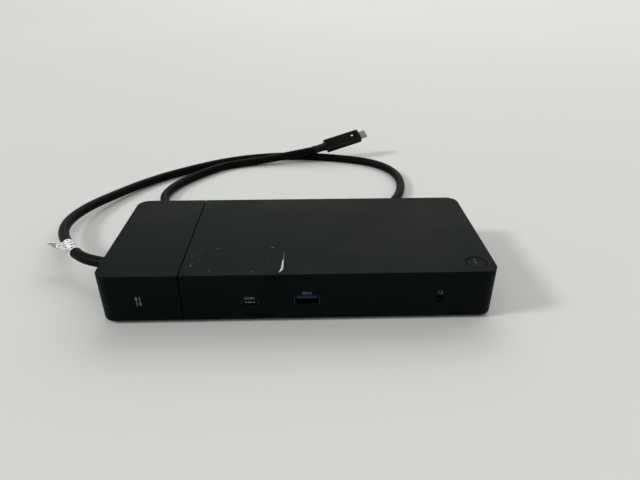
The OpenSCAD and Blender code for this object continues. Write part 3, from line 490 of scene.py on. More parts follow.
# %% Cable route
NECK_START = np.array([12.3, 191.0, 10.3])
ROUTE = np.array([
    RELIEF_END,
    [-121.2, -2.9, 14.1], [-127.9, 1.9, 13.6], [-135.1, 9.5, 12.9], [-142.5, 19.6, 12],
    [-149.1, 30.2, 11], [-153.6, 40.3, 10.1], [-156.4, 51.6, 9.2], [-157.1, 64.4, 8],
    [-155.3, 77.6, 6.9], [-151.2, 91, 5.9], [-144.8, 104.1, 5.1], [-135.3, 120.7, 4.3],
    [-123.7, 137, 3.7], [-104.7, 156, 3.4], [-71, 179.6, 3.4], [-36.8, 192.2, 3.4],
    [0, 194.9, 3.4], [43.4, 185.4, 3.4], [66.3, 173.4, 3.4], [79.2, 155.2, 3.4],
    [82.5, 131.6, 3.4], [76.1, 104.1, 3.4], [61.7, 81.9, 3.4], [40.1, 67.1, 3.4],
    [10, 59.2, 3.4], [-29.9, 57.2, 3.4], [-64.8, 62.2, 3.4], [-90.8, 77.2, 3.4],
    [-103.5, 102.2, 3.4], [-102, 123.4, 3.4], [-90.4, 145.2, 3.4], [-69.2, 169.2, 3.4],
    [-51.9, 177.9, 3.4], [-36.2, 182.2, 4.1], [-22.7, 184.4, 5.6], [0, 188.1, 8.9],
    NECK_START,
])


def smooth_curve(points, steps):
    """A curve through all points. Between b and c, with neighbours a and d, it is half of
    2b + (c - a) t + (2a - 5b + 4c - d) t squared + (3b - a - 3c + d) t cubed."""
    padded = np.concatenate([points[:1], points, points[-1:]])
    a, b, c, d = (padded[i:len(padded) - 3 + i, None] for i in range(4))
    t = np.linspace(0, 1, steps, endpoint=False)[:, None]
    curve = 2 * b + (c - a) * t + (2 * a - 5 * b + 4 * c - d) * t**2 + (3 * b - a - 3 * c + d) * t**3
    return np.concatenate([0.5 * curve.reshape(-1, 3), points[-1:]])


cable_path = smooth_curve(ROUTE, 14)
cable_run = np.concatenate([[0], np.cumsum(np.linalg.norm(np.diff(cable_path, axis=0), axis=1))])

# %% Cable jacket
# Faint lines run along the extruded jacket, from noise that is long in v and short in u. The map's v is in
# centimetres along the cable.
CABLE_SIDES = 24
JACKET_LINES = (26, 1.5, 1)
JACKET_DARK, JACKET_PALE = (0.0022, 0.0024, 0.0024), (0.0038, 0.0041, 0.0041)


def jacket_finish():
    material, tree, shader, place = finish("cable_jacket", 0.45, specular=0.035)
    grain = use(tree, moulded_grain, Place=place, Size=0.25 * MM, Contrast=0.15)
    surface_map = node(tree, "TexCoord").outputs["UV"]
    stretched = node(tree, "Mapping", {"Vector": surface_map, "Scale": JACKET_LINES}).outputs[0]
    lines = noise(tree, stretched, 1.0)
    tone = mixed(tree, remap(tree, lines, 0.35, 0.7), JACKET_DARK, JACKET_PALE)
    tree.links.new(shaded(tree, tone, grain["Shade"]), shader.inputs["Base Color"])
    tree.links.new(remap(tree, lines, 0.3, 0.7, 0.36, 0.5), shader.inputs["Roughness"])
    relief(tree, shader, grain["Height"], 0.008 * MM)
    return material


jacket = jacket_finish()
cable_grid = carry(cable_path, CABLE_R * circle(CABLE_SIDES)[None])
cable = make_piece("host_cable", grid_surface(cable_grid, v=cable_run / 10), jacket)
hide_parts("dock_cable")

# %% [markdown]
# ## Floor and light
# A plain pale floor carries the soft shadows. Two wide suns stand to the left and behind, which leaves
# the front of the slab dark; two big panels and a pale surround fill in. Suns light the floor evenly out
# to the horizon. The floor could be a curved backdrop, but from behind that would stand between the
# camera and the object.

# %% Floor
FLOOR_HALF = 8.0
floor_corners = np.array([[-1, -1, 0], [1, -1, 0], [1, 1, 0], [-1, 1, 0]]) * FLOOR_HALF
floor_mesh = bpy.data.meshes.new("floor")
floor_mesh.from_pydata(floor_corners.tolist(), [], [(0, 1, 2, 3)])
floor = bpy.data.objects.new("floor", floor_mesh)
bpy.context.scene.collection.objects.link(floor)
floor_pale = mottled("floor_pale", 0.7, 0.15, 0.9, (0.63, 0.635, 0.61), (0.65, 0.655, 0.63), detail=1.0)
floor_mesh.materials.append(floor_pale)
print("floor", floor.name)

# %% Panels and suns
# Place in metres, both sizes and watts of each panel, which faces the origin
PANELS = {
    "panel_back": ((0.75, 2.0, 1.9), (4.0, 2.0), 30.0),
    "panel_front": ((0.4, -0.9, 1.3), (1.6, 1.4), 1.6),
}
# Heading and height of each sun in degrees, how wide it looks in the sky, and its strength
SUNS = {"sun_left": (190, 34, 11, 1.45), "sun_back": (90, 49, 29, 0.28)}

for name, (place, size, watts) in PANELS.items():
    panel = bpy.data.lights.new(name, "AREA")
    panel.shape = "RECTANGLE"
    panel.size, panel.size_y = size
    panel.energy = watts
    lamp = bpy.data.objects.new(name, panel)
    lamp.location = place
    lamp.rotation_euler = (-lamp.location).to_track_quat("-Z", "Y").to_euler()
    bpy.context.scene.collection.objects.link(lamp)

for name, (heading, height, spread, strength) in SUNS.items():
    sun = bpy.data.lights.new(name, "SUN")
    sun.angle = math.radians(spread)
    sun.energy = strength
    lamp = bpy.data.objects.new(name, sun)
    lamp.rotation_euler = (math.radians(90 - height), 0, math.radians(90 + heading))
    bpy.context.scene.collection.objects.link(lamp)

print(len(PANELS), "panels and", len(SUNS), "suns")

# %% Surround
# Rays from the camera, also by way of metal or glass, meet a brighter backdrop than the one that lights
# the object.
WORLD_COLOUR = (0.86, 0.87, 0.87)
WORLD_STRENGTH, BACKDROP_STRENGTH = 0.56, 0.72
world = bpy.data.worlds.new("surround")
world.use_nodes = True
bpy.context.scene.world = world
tree = world.node_tree
background = tree.nodes["Background"]
background.inputs["Color"].default_value = (*WORLD_COLOUR, 1)
light_path = node(tree, "LightPath")
seen = plus(tree, light_path.outputs["Is Camera Ray"], light_path.outputs["Is Glossy Ray"])
seen = plus(tree, seen, light_path.outputs["Is Transmission Ray"], clamp=True)
strength = remap(tree, seen, 0.0, 1.0, WORLD_STRENGTH, BACKDROP_STRENGTH)
tree.links.new(strength, background.inputs["Strength"])
bpy.context.scene.view_settings.view_transform = "Standard"
print("world", world.name)

# %% [markdown]
# ## Covers
# Both covers are black plastic from a spark-eroded mould: a fine even texture, dull, with smudges where
# hands go. The photograph shows wear on the main cover only: one pale gouge in front of the middle, a few
# short dashes, and a patch of small specks beside the groove. They could be cut into the mesh, but such
# marks have no depth to speak of, so they are drawn in the finish at their own places.

# %% Cover marks
COVER_COLOUR = (0.0008, 0.0034, 0.0026)
SMUDGE_COLOUR, SMUDGE_SHARE = (0.0045, 0.0070, 0.0062), 0.25
SCUFF_COLOUR, SCUFF_SHARE, SCUFF_DENT = (0.030, 0.032, 0.031), 0.9, 9.0
BARE_COLOUR = (0.55, 0.55, 0.53)
COVER_ROUGH, SMUDGE_GLOSS = 0.5, 0.06
COVER_RELIEF = 0.009 * MM
# Start and end on the top face, widths at both ends, and how pale the mark is
COVER_MARKS = [
    ((-7.4, -22.7), (-7.9, -33.0), 0.2, 0.6, 0.25),
    ((-7.8, -31.0), (-8.3, -40.0), 0.7, 1.25, 0.9),
    ((-8.3, -39.6), (-9.4, -42.2), 1.2, 0.5, 0.9),
    ((-14.6, -17.6), (-13.4, -17.5), 0.35, 0.45, 0.38),
    ((-44.6, -17.9), (-41.9, -17.7), 0.25, 0.3, 0.14),
    ((-52.6, -19.7), (-51.0, -19.6), 0.25, 0.25, 0.1),
    ((-21.0, -18.2), (-19.2, -18.3), 0.25, 0.25, 0.12),
    ((-55.4, -35.4), (-55.1, -34.6), 0.45, 0.35, 0.35),
    ((-45.3, -40.2), (-44.9, -40.0), 0.5, 0.4, 0.3),
    ((-16.2, -32.6), (-16.0, -32.2), 0.4, 0.3, 0.2),
    ((-23.5, -41.6), (-22.6, -41.5), 0.35, 0.3, 0.2),
]
# Middle of the patch of specks, and how far it reaches along each axis
SCUFF_CENTRE = np.array([-53.5, -27.0, top_z])
SCUFF_REACH = np.array([5.0, 12.0, 2.0])
print(len(COVER_MARKS), "scratches and a patch of specks")

# %% Cover finish
def cover_finish():
    """Spark texture, smudges, the patch of specks and the scratches, each mixed over the one before."""
    material, tree, shader, place = finish("cover_black", COVER_ROUGH, specular=0.045)
    grain = use(tree, moulded_grain, Place=place, Size=0.22 * MM, Contrast=0.16)
    handled = use(
        tree, handling, Place=place, Smudge_Size=45 * MM, Speck_Size=1.1 * MM, Spot=0.36, Kept=0.5
    )
    tone = shaded(tree, COVER_COLOUR, grain["Shade"])
    tone = mixed(tree, times(tree, handled["Smudge"], SMUDGE_SHARE), tone, SMUDGE_COLOUR)

    from_centre = node(tree, "Mapping", {
        "Vector": place,
        "Location": tuple(-SCUFF_CENTRE / SCUFF_REACH),
        "Scale": tuple(1 / (SCUFF_REACH * MM)),
    }).outputs[0]
    patch = node(tree, "VectorMath", {0: from_centre}, operation="LENGTH").outputs["Value"]
    scuffs = times(tree, handled["Specks"], remap(tree, patch, 1.0, 0.4))
    tone = mixed(tree, times(tree, scuffs, SCUFF_SHARE), tone, SCUFF_COLOUR)

    worn = 0.0
    for *ends, start_width, end_width, paleness in COVER_MARKS:
        start, end = (tuple(np.array([*place_on_top, top_z]) * MM) for place_on_top in ends)
        mark = use(
            tree, scratch, Place=place, Start=start, End=end,
            Start_Width=start_width * MM, End_Width=end_width * MM,
        )["Mask"]
        worn = math_node(tree, "MAXIMUM", times(tree, mark, paleness), worn)
    tree.links.new(mixed(tree, worn, tone, BARE_COLOUR), shader.inputs["Base Color"])
    dull = plus(tree, times(tree, handled["Smudge"], -SMUDGE_GLOSS), COVER_ROUGH)
    tree.links.new(dull, shader.inputs["Roughness"])
    dents = plus(tree, worn, times(tree, scuffs, SCUFF_DENT))
    relief(tree, shader, minus(tree, grain["Height"], dents), COVER_RELIEF)
    return material


def dress(material, *names):
    """Gives the solids of these nodes one finish."""
    for name in names:
        nodes[name].data.materials.clear()
        nodes[name].data.materials.append(material)
    print(material.name, "on", ", ".join(names))


cover_black = cover_finish()
dress(cover_black, "top_cover", "module_cover")

# %% [markdown]
# ## Plain finishes of the other solids
# The rest of the solids keep their shape. Black mouldings, rubber, nickel and zinc differ in colour,
# roughness and the size of their texture, so each is one line of values for the same two recipes.

# %% Plain finishes
base_black = moulded("base_black", (0.0045, 0.005, 0.005), 0.6, size=0.6, specular=0.1, dusty=0.2)
button_black = moulded("button_black", (0.0018, 0.0030, 0.0030), 0.42, size=0.2, specular=0.04)
foot_rubber = moulded(
    "foot_rubber", (0.006, 0.006, 0.006), 0.75, size=0.3, contrast=0.25, specular=0.15, dusty=0.3
)
socket_black = moulded("socket_black", (0.004, 0.004, 0.0043), 0.5, size=0.25, specular=0.1)
socket_blue = moulded("socket_blue", (0.002, 0.009, 0.04), 0.45, size=0.25, specular=0.12)
chip_black = moulded("chip_black", (0.02, 0.02, 0.021), 0.55, size=0.3)
thermal_grey = moulded("thermal_grey", (0.3, 0.34, 0.4), 0.7, size=0.5)
fan_black = moulded("fan_black", (0.012, 0.012, 0.012), 0.5, dusty=0.4)
nickel = drawn("nickel", (0.62, 0.61, 0.59), 0.26)
steel = drawn("steel", (0.33, 0.325, 0.32), 0.32)
screw_black = drawn("screw_black", (0.05, 0.05, 0.052), 0.38)
dark_nickel = drawn("dark_nickel", (0.060, 0.058, 0.056), 0.34)
zinc = drawn("zinc", (0.60, 0.61, 0.62), 0.34, spread=0.2)
gold = drawn("gold", (0.60, 0.57, 0.52), 0.32)
aluminium = drawn("aluminium", (0.74, 0.75, 0.76), 0.36, spread=0.2)
copper = drawn("copper", (0.72, 0.36, 0.20), 0.35, spread=0.3)
print("plain finishes ready")

# %% Dressing the solids
dress(base_black, "base_cover", "module_base")
dress(foot_rubber, "main_feet", "module_feet", "switch_plunger")
dress(button_black, "power_button")
dress(
    socket_black, "switch_body", "front_c_tongue", "headset_jack", "power_socket", "network_insert",
    "rear_c_tongue", "video_tongue", "monitor_tongues", "link_plug", "link_socket", "module_c_tongue",
)
dress(socket_blue, "front_a_tongue", "rear_a_tongues")
dress(chip_black, "main_chips", "module_chip")
dress(thermal_grey, "thermal_pads")
dress(fan_black, "fan_housing", "fan_impeller")
dress(nickel, "power_pin")
dress(steel, "network_shield", "coupling_plates", "lock_plate")
dress(screw_black, "base_screws", "module_screws", "coupling_screws")
dress(
    dark_nickel, "front_c_shell", "front_a_shell", "rear_a_shell", "rear_c_shell", "video_shell",
    "monitor_shells", "module_c_shell",
)
dress(zinc, "board_screws", "shield_can", "fan_lid", "module_shield", "cable_clamp")
dress(gold, "network_contacts")
dress(aluminium, "heat_spreader")
dress(copper, "fan_stator")
dress(jacket, "cable_tail")

# %% [markdown]
# ## Circuit boards and wires
# Inside, two green boards carry copper tracks under their lacquer, and five coloured wires fan out of the
# cable. They only show through the vents and sockets, so the tracks are a pattern of straight steps in
# the finish, not geometry.

# %% Boards and wires
LACQUER, LACQUER_PALE, TRACK = (0.006, 0.07, 0.03, 1), (0.008, 0.085, 0.035, 1), (0.02, 0.15, 0.06, 1)
WIRE_COLOURS = [
    (0.5, 0.02, 0.02), (0.02, 0.25, 0.05), (0.8, 0.8, 0.78), (0.02, 0.05, 0.4), (0.01, 0.01, 0.01),
]


def board_finish():
    material, tree, shader, place = finish("board_green", 0.35)
    tracks = node(tree, "TexBrick", {
        "Vector": place, "Scale": 1.0,
        "Brick Width": 9 * MM, "Row Height": 1.2 * MM, "Mortar Size": 0.25 * MM,
        "Color1": LACQUER, "Color2": LACQUER_PALE, "Mortar": TRACK,
    }).outputs
    tree.links.new(tracks["Color"], shader.inputs["Base Color"])
    relief(tree, shader, tracks["Fac"], 0.03 * MM)
    return material


def wire_finish():
    """Wire colour by place across the cable: five steps of a ramp over the width of the fan."""
    material, tree, shader, place = finish("wire_colours", 0.4)
    low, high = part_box("cable_wires")
    across = node(tree, "SeparateXYZ", {0: place}).outputs["Y"]
    ramp = node(tree, "ValToRGB", {"Fac": remap(tree, across, low.y, high.y)})
    ramp.color_ramp.interpolation = "CONSTANT"
    stops = ramp.color_ramp.elements
    for index, colour in enumerate(WIRE_COLOURS):
        stop = stops[0] if index == 0 else stops.new(index / len(WIRE_COLOURS))
        stop.color = (*colour, 1)
    tree.links.new(ramp.outputs["Color"], shader.inputs["Base Color"])
    return material


dress(board_finish(), "main_board", "module_board")
dress(wire_finish(), "cable_wires")

# %% [markdown]
# ## Strain relief
# Where the cable leaves the module it passes through a short rubber boot, which keeps the bend wide. On
# the real object such a boot is ribbed, so that it bends like a spring. Here it is one profile of radii
# carried along the bend: a shoulder at the wall, a taper, and four grooves.

# %% Strain relief
RELIEF_START = -1.5
BOOT_R, BOOT_TAPER = 4.2, 0.45
SHOULDER_AT, SHOULDER_HALF, SHOULDER_EDGE, SHOULDER_OUT = 0.9, 0.9, 0.5, 0.5
GROOVES, GROOVE_HALF, GROOVE_DEPTH = np.linspace(3.0, relief_length - 1.5, 4), 0.5, 0.35
BOOT_TIP, BOOT_TIP_SHARE = 0.6, 0.08


def ridge(x, at, half, edge):
    """1 on a ridge about a place, falling in a straight line to 0 over the edge of its half width."""
    return np.clip((half - np.abs(x - at)) / edge, 0, 1)


def dips(x, places, half):
    """1 at each place, falling as a parabola to 0 at half a width from it."""
    nearest = np.abs(x[:, None] - np.asarray(places)).min(axis=1)
    return np.clip(1 - (nearest / half) ** 2, 0, 1)


def relief_radius(run):
    """Radius of the boot: a taper, plus the shoulder, less the grooves, rounded off at the tip."""
    taper = BOOT_R - BOOT_TAPER * np.clip(run / relief_length, 0, 1)
    shoulder = SHOULDER_OUT * ridge(run, SHOULDER_AT, SHOULDER_HALF, SHOULDER_EDGE)
    groove = GROOVE_DEPTH * dips(run, GROOVES, GROOVE_HALF)
    to_tip = np.clip((relief_length - run) / BOOT_TIP, 0, 1)
    rounding = 1 - BOOT_TIP_SHARE * (1 - np.sqrt(1 - (1 - to_tip) ** 2))
    return (taper + shoulder - groove) * rounding


relief_run = np.linspace(RELIEF_START, relief_length, 130)
relief_grid = carry(relief_path(relief_run), relief_radius(relief_run)[:, None, None] * circle(32)[None])
boot_rubber = moulded("boot_rubber", (0.0042, 0.0046, 0.0046), 0.5, size=0.3, specular=0.12)
boot = make_piece("relief_boot", grid_surface(relief_grid), boot_rubber)
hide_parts("cable_relief")

# %% [markdown]
# ## Plug
# The plug is a hard black overmould with a round neck towards the cable, a bent steel tip and a small
# light window. Its own frame has X along the plug, so every shape is made lying straight and then turned
# to where it rests, with the neck across the cable.

# %% Plug frame
PLUG_ROLL, PLUG_RISE, PLUG_HEADING = (math.radians(turn) for turn in (30, 11, 19))
NECK_L = 12.0
PLUG_L, PLUG_W, PLUG_T = 34.0, 12.5, 6.8


def turn_matrix(axis, angle):
    """A turn about the X, Y or Z axis."""
    i, j = [(1, 2), (2, 0), (0, 1)][axis]
    matrix = np.eye(3)
    matrix[i, i] = matrix[j, j] = math.cos(angle)
    matrix[j, i] = math.sin(angle)
    matrix[i, j] = -math.sin(angle)
    return matrix


plug_axes = turn_matrix(2, PLUG_HEADING) @ turn_matrix(1, -PLUG_RISE) @ turn_matrix(0, PLUG_ROLL)


def from_plug(local):
    """Points of the plug's own frame as points of the part."""
    return NECK_START + local @ plug_axes.T


print("plug points towards", np.round(plug_axes[:, 0], 2))

# %% Plug sections
# Places of the points along a side, as shares of it; they lie closer at the notch
SIDE_STEPS = np.array([-0.96, -0.2, -0.09, 0, 0.09, 0.2, 0.96])
NOTCH_SHARE = 0.2


def rounded_section(half_w, half_t, radius, groove=0.0):
    """A rounded rectangle as points: straight sides with points along them, and an arc at each corner.
    A groove is a small notch at the middle of both short sides."""
    flat_w, flat_t = half_w - radius, half_t - radius
    arc = np.linspace(0, np.pi / 2, 7)
    corner = radius * np.stack([np.cos(arc), np.sin(arc)], axis=-1)
    notch = groove * np.clip(1 - np.abs(SIDE_STEPS) / NOTCH_SHARE, 0, 1)
    right = np.stack([half_w - notch, SIDE_STEPS * flat_t], axis=-1)
    upper = np.stack([np.linspace(0.98, -0.98, 7) * flat_w, np.full(7, half_t)], axis=-1)
    first_corner = corner + [flat_w, flat_t]
    second_corner = corner @ [[0, 1], [-1, 0]] + [-flat_w, flat_t]
    half = np.concatenate([right, first_corner, upper, second_corner])
    return np.concatenate([half, -half])


def lengthwise(xs, sections):
    """Sections in Y and Z set at places along X."""
    x = np.broadcast_to(np.asarray(xs)[:, None, None], (*sections.shape[:2], 1))
    return np.concatenate([x, sections], axis=-1)


print("a section has", len(rounded_section(2, 1, 0.5)), "points")

# %% Plug finish
# The long edges are painted paler as a painted highlight, broken up by the spark texture. On the map
# the four corners of the section lie a quarter apart in u.
CORNER_U, HIGHLIGHT_OUTER, HIGHLIGHT_INNER = 0.714, 0.16, 0.02
PLUG_COLOUR, EDGE_HIGHLIGHT_COLOUR = (0.0018, 0.0021, 0.0022), (0.045, 0.047, 0.047)


def plug_finish():
    material, tree, shader, place = finish("plug_black", 0.34, specular=0.06)
    grain = use(tree, moulded_grain, Place=place, Size=0.3 * MM, Contrast=0.12)
    around = node(tree, "SeparateXYZ", {0: node(tree, "TexCoord").outputs["UV"]}).outputs["X"]
    quarter = math_node(tree, "FRACT", times(tree, around, 4.0))
    from_corner = math_node(tree, "ABSOLUTE", minus(tree, quarter, CORNER_U))
    # Painted highlight: the base colour turns paler along the four long edges.
    edge_highlight = times(tree, remap(tree, from_corner, HIGHLIGHT_OUTER, HIGHLIGHT_INNER), grain["Height"])
    tone = mixed(tree, edge_highlight, shaded(tree, PLUG_COLOUR, grain["Shade"]), EDGE_HIGHLIGHT_COLOUR)
    tree.links.new(tone, shader.inputs["Base Color"])
    relief(tree, shader, grain["Height"], SPARK_DEPTH)
    return material


plug_black = plug_finish()
print("plug finish", plug_black.name)

# %% Plug body
# Along the body the section draws in at both ends as a quarter circle, and at the ring groove behind the
# front lip.
PLUG_END_R, PLUG_CORNER, SEAM_DEPTH = 0.7, 2.2, 0.12
LIP_AT, LIP_HALF, LIP_DEPTH = PLUG_L - 1.6, 0.35, 0.16


def plug_inset(x):
    """How far the section is drawn in at x: end rounding plus the ring groove."""
    to_end = np.clip(np.minimum(x, PLUG_L - x) / PLUG_END_R, 0, 1)
    rounding = PLUG_END_R * (1 - np.sqrt(1 - (1 - to_end) ** 2))
    return rounding + LIP_DEPTH * dips(x, [LIP_AT], LIP_HALF)


end_steps = PLUG_END_R * (1 - np.cos(np.linspace(0, np.pi / 2, 8)))
lip_steps = LIP_AT + LIP_HALF * np.linspace(-1.2, 1.2, 9)
plug_xs = np.concatenate([end_steps, np.linspace(2, PLUG_L - 4, 12), lip_steps, PLUG_L - end_steps[::-1]])
plug_sections = np.stack([
    rounded_section(PLUG_W / 2 - inset, PLUG_T / 2 - inset, PLUG_CORNER - inset, groove=SEAM_DEPTH)
    for inset in plug_inset(plug_xs)
])
plug_grid = from_plug(lengthwise(NECK_L + plug_xs, plug_sections))
plug_body = make_piece("plug_overmould", grid_surface(plug_grid), plug_black)
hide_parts("plug_body")

# %% Plug neck
# The neck is a turned shape: a collar at the cable, a waist with three shallow rings, and a flare at the
# body.
NECK_R, NECK_SUNK = 3.5, 0.3
COLLAR_AT, COLLAR_HALF, COLLAR_EDGE, COLLAR_OUT = 0.85, 0.95, 0.2, 0.28
FLARE_AT, FLARE_EDGE, FLARE_OUT = 9.8, 0.4, 0.3
WAIST_RINGS, RING_HALF, RING_DEPTH = (3.6, 5.6, 7.6), 0.5, 0.14
neck_xs = np.linspace(0, NECK_L + NECK_SUNK, 110)
neck_radius = (
    NECK_R
    + COLLAR_OUT * ridge(neck_xs, COLLAR_AT, COLLAR_HALF, COLLAR_EDGE)
    + FLARE_OUT * np.clip((neck_xs - FLARE_AT) / FLARE_EDGE, 0, 1)
    - RING_DEPTH * dips(neck_xs, WAIST_RINGS, RING_HALF)
)
neck_grid = from_plug(lengthwise(neck_xs, neck_radius[:, None, None] * circle(32)[None]))
plug_neck = make_piece("plug_neck_boot", grid_surface(neck_grid), boot_rubber)
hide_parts("plug_neck")

# %% Plug tip
# The tip is one strip of steel bent to an oval tube. Its rows run out along the outside, round the rolled
# mouth and back along the inside to a dark insert.
TIP_W, TIP_T, TIP_L, TIP_WALL = 8.3, 2.5, 6.6, 0.3
TIP_OUTSIDE, TIP_INSIDE, TIP_FLAT = [-0.2, 2.0, 4.0, 6.0], [5.5, 3.0, 1.0], 0.02
mouth = np.linspace(0, np.pi, 9)
mouth_xs = TIP_L - TIP_WALL / 2 * (1 - np.sin(mouth))
mouth_insets = TIP_WALL / 2 * (1 - np.cos(mouth))
tip_xs = np.concatenate([TIP_OUTSIDE, mouth_xs, TIP_INSIDE])
tip_insets = np.concatenate([np.zeros(4), mouth_insets, np.full(3, TIP_WALL)])
tip_sections = np.stack([
    rounded_section(TIP_W / 2 - inset, TIP_T / 2 - inset, TIP_T / 2 - inset - TIP_FLAT)
    for inset in tip_insets
])
tip_grid = from_plug(lengthwise(NECK_L + PLUG_L + tip_xs, tip_sections))
tip_steel = drawn("tip_steel", (0.27, 0.245, 0.22), 0.3)
plug_tip = make_piece("plug_tip", grid_surface(tip_grid), tip_steel)
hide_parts("plug_shell")

# %% Plug light
# A small window that bulges a little above the plug's upper face.
LIGHT_W, LIGHT_D, LIGHT_CORNER, LIGHT_BACK = 2.0, 1.5, 0.35, 7.6
LIGHT_ROWS = [(-0.4, 0.0), (-0.02, 0.0), (0.03, 0.06), (0.05, 0.2)]


def light_row(height, inset):
    """One row of the window: its outline, drawn in by the inset, at a height over the plug's face."""
    outline = rounded_section(LIGHT_W / 2 - inset, LIGHT_D / 2 - inset, LIGHT_CORNER - inset)
    return np.column_stack([outline, np.full(len(outline), PLUG_T / 2 + height)])


light_rows = np.stack([light_row(*row) for row in LIGHT_ROWS])
light_grid = from_plug(light_rows + [NECK_L + PLUG_L - LIGHT_BACK, 0, 0])
light_window = mottled("light_window", 0.25, 0.5, 0.8 * MM, (0.56, 0.57, 0.58), (0.68, 0.69, 0.70))
plug_light = make_piece("plug_window", grid_surface(light_grid), light_window)
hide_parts("plug_light")

# %% [markdown]
# ## Paper tag
# A printed paper label is wrapped round the cable and stuck to itself, so it has a band and a pointed
# flag with a crease across it. Cloth simulation would be too much for stiff paper: the flag is a sheet
# whose height follows a formula, and the whole label is then bent along the cable. The print is only rows
# of dark bars.

# %% Tag finish
# The map is in centimetres: u along the cable, v outwards from it. Lines of print lie across u, and words
# are noise along v that differs from line to line. The flag is painted greyer than the band as painted
# shade, its crease and upper edge get a painted highlight, and past the crease the label is darker.
LINES_PER_CM, WORDS_PER_CM, LINE_SHIFT = 2.5, 9.0, 7.3
FOLD_V, FOLD_SLOPE = 0.72, -0.5
EDGE_HIGHLIGHT_U = 0.68
PAPER_DIM, PAPER_PALE = (0.76, 0.76, 0.74), (0.86, 0.86, 0.845)
FLAG_PAINTED_SHADE, PAST_CREASE_TONE = (0.62, 0.62, 0.605), (0.32, 0.32, 0.31)
PRINT_TONE, PRINT_SHARE = (0.03, 0.03, 0.033), 0.92


def paper_finish():
    material, tree, shader, place = finish("tag_paper", 0.7, specular=0.3)
    fibres = noise(tree, place, 1 / (0.5 * MM), detail=4.0)
    paper = mixed(tree, remap(tree, fibres, 0.3, 0.7), PAPER_DIM, PAPER_PALE)
    surface_map = node(tree, "SeparateXYZ", {0: node(tree, "TexCoord").outputs["UV"]}).outputs
    from_fold = minus(tree, surface_map["Y"], times(tree, surface_map["X"], FOLD_SLOPE))
    # Painted shade: the flag is greyer than the band.
    paper = mixed(tree, remap(tree, from_fold, -0.3, -0.2), paper, FLAG_PAINTED_SHADE)
    # Painted highlight: a pale line along the crease.
    paper = mixed(tree, remap(tree, from_fold, FOLD_V - 0.06, FOLD_V), paper, PAPER_PALE)
    # Past the crease the paper turns darker.
    paper = mixed(tree, remap(tree, from_fold, FOLD_V + 0.03, FOLD_V + 0.07), paper, PAST_CREASE_TONE)
    # Painted highlight: a pale strip along the flag's upper edge and the band's end on that side.
    paper = mixed(tree, remap(tree, surface_map["X"], EDGE_HIGHLIGHT_U, EDGE_HIGHLIGHT_U + 0.03), paper, PAPER_PALE)
    line = times(tree, surface_map["X"], LINES_PER_CM)
    from_middle = math_node(tree, "ABSOLUTE", minus(tree, math_node(tree, "FRACT", line), 0.5))
    bars = remap(tree, from_middle, 0.23, 0.17)
    words = node(tree, "CombineXYZ", {
        "X": times(tree, math_node(tree, "FLOOR", line), LINE_SHIFT),
        "Y": times(tree, surface_map["Y"], WORDS_PER_CM),
    }).outputs[0]
    gaps = remap(tree, noise(tree, words, 1.0), 0.47, 0.51)
    printed = times(tree, times(tree, bars, gaps), PRINT_SHARE)
    tree.links.new(mixed(tree, printed, paper, PRINT_TONE), shader.inputs["Base Color"])
    relief(tree, shader, fibres, 0.03 * MM)
    return material


paper = paper_finish()
print("tag finish", paper.name)

# %% Tag band
# The band is a tube whose ends slant: its columns run along the inside and back along the outside.
TAG_L, TAG_R, TAG_T = 15.6, CABLE_R + 0.1, 0.14
BAND_SLANT, BAND_SLANT_AT, BAND_V = 0.5, 0.6, -3.0
turns = np.linspace(0, 2 * np.pi, 48, endpoint=False)
slant = BAND_SLANT * np.sin(turns + BAND_SLANT_AT)
steps = np.linspace(-1, 1, 9)
rims = np.concatenate([steps, steps[::-1]])
band_x = rims * TAG_L / 2 + slant[:, None]
band_r = np.broadcast_to(TAG_R + TAG_T * np.repeat([0, 1], len(steps)), band_x.shape)
band = np.stack([band_x, band_r * np.cos(turns)[:, None], band_r * np.sin(turns)[:, None]], axis=-1)
band_u = np.append(rims, -1) * TAG_L / 20
band_v = BAND_V + np.linspace(0, 2 * np.pi * TAG_R, len(turns) + 1) / 10
print("band of", band.shape[0], "rows")

# %% Tag flag
# The flag is a sheet: each column reaches out to its slanting edge, and its height is a slow wave that
# rises a little past the crease; upper and lower side make one ring of columns.
FLAG_OUT, FLAG_RISE = 10.1, 0.08
FLAG_ROOT, FLAG_LIFT = math.radians(45), math.radians(16)
FLAG_ALONG, FLAG_EDGE = (-7.6, -3.8, -0.4, 7.8), (0, 5, 7.3, FLAG_OUT)
WAVE, WAVE_OUT, WAVE_ALONG = 0.25, 0.9, 0.25
along = np.linspace(FLAG_ALONG[0], FLAG_ALONG[-1], 30)[None, :]
share = np.linspace(0, 1, 40)[:, None]
edge = np.interp(along, FLAG_ALONG, FLAG_EDGE)
out = edge * share
past = np.clip(FLAG_OUT * share - 10 * FOLD_V - FOLD_SLOPE * along, 0, None) * edge / FLAG_OUT
wave = WAVE * np.sin(WAVE_OUT * out) * np.cos(WAVE_ALONG * along) + FLAG_RISE * past
upper = np.stack([along + 0 * out, out, wave], axis=-1)
flag = np.concatenate([upper, upper[:, ::-1] - [0, 0, TAG_T]], axis=1) @ turn_matrix(0, FLAG_LIFT).T
flag += TAG_R * np.array([0, math.cos(FLAG_ROOT), math.sin(FLAG_ROOT)])
flag_u = np.concatenate([along[0], along[0, ::-1], along[0, :1]]) / 10
flag_v = FLAG_OUT / 10 * share[:, 0]
print("flag of", flag.shape[0], "rows")

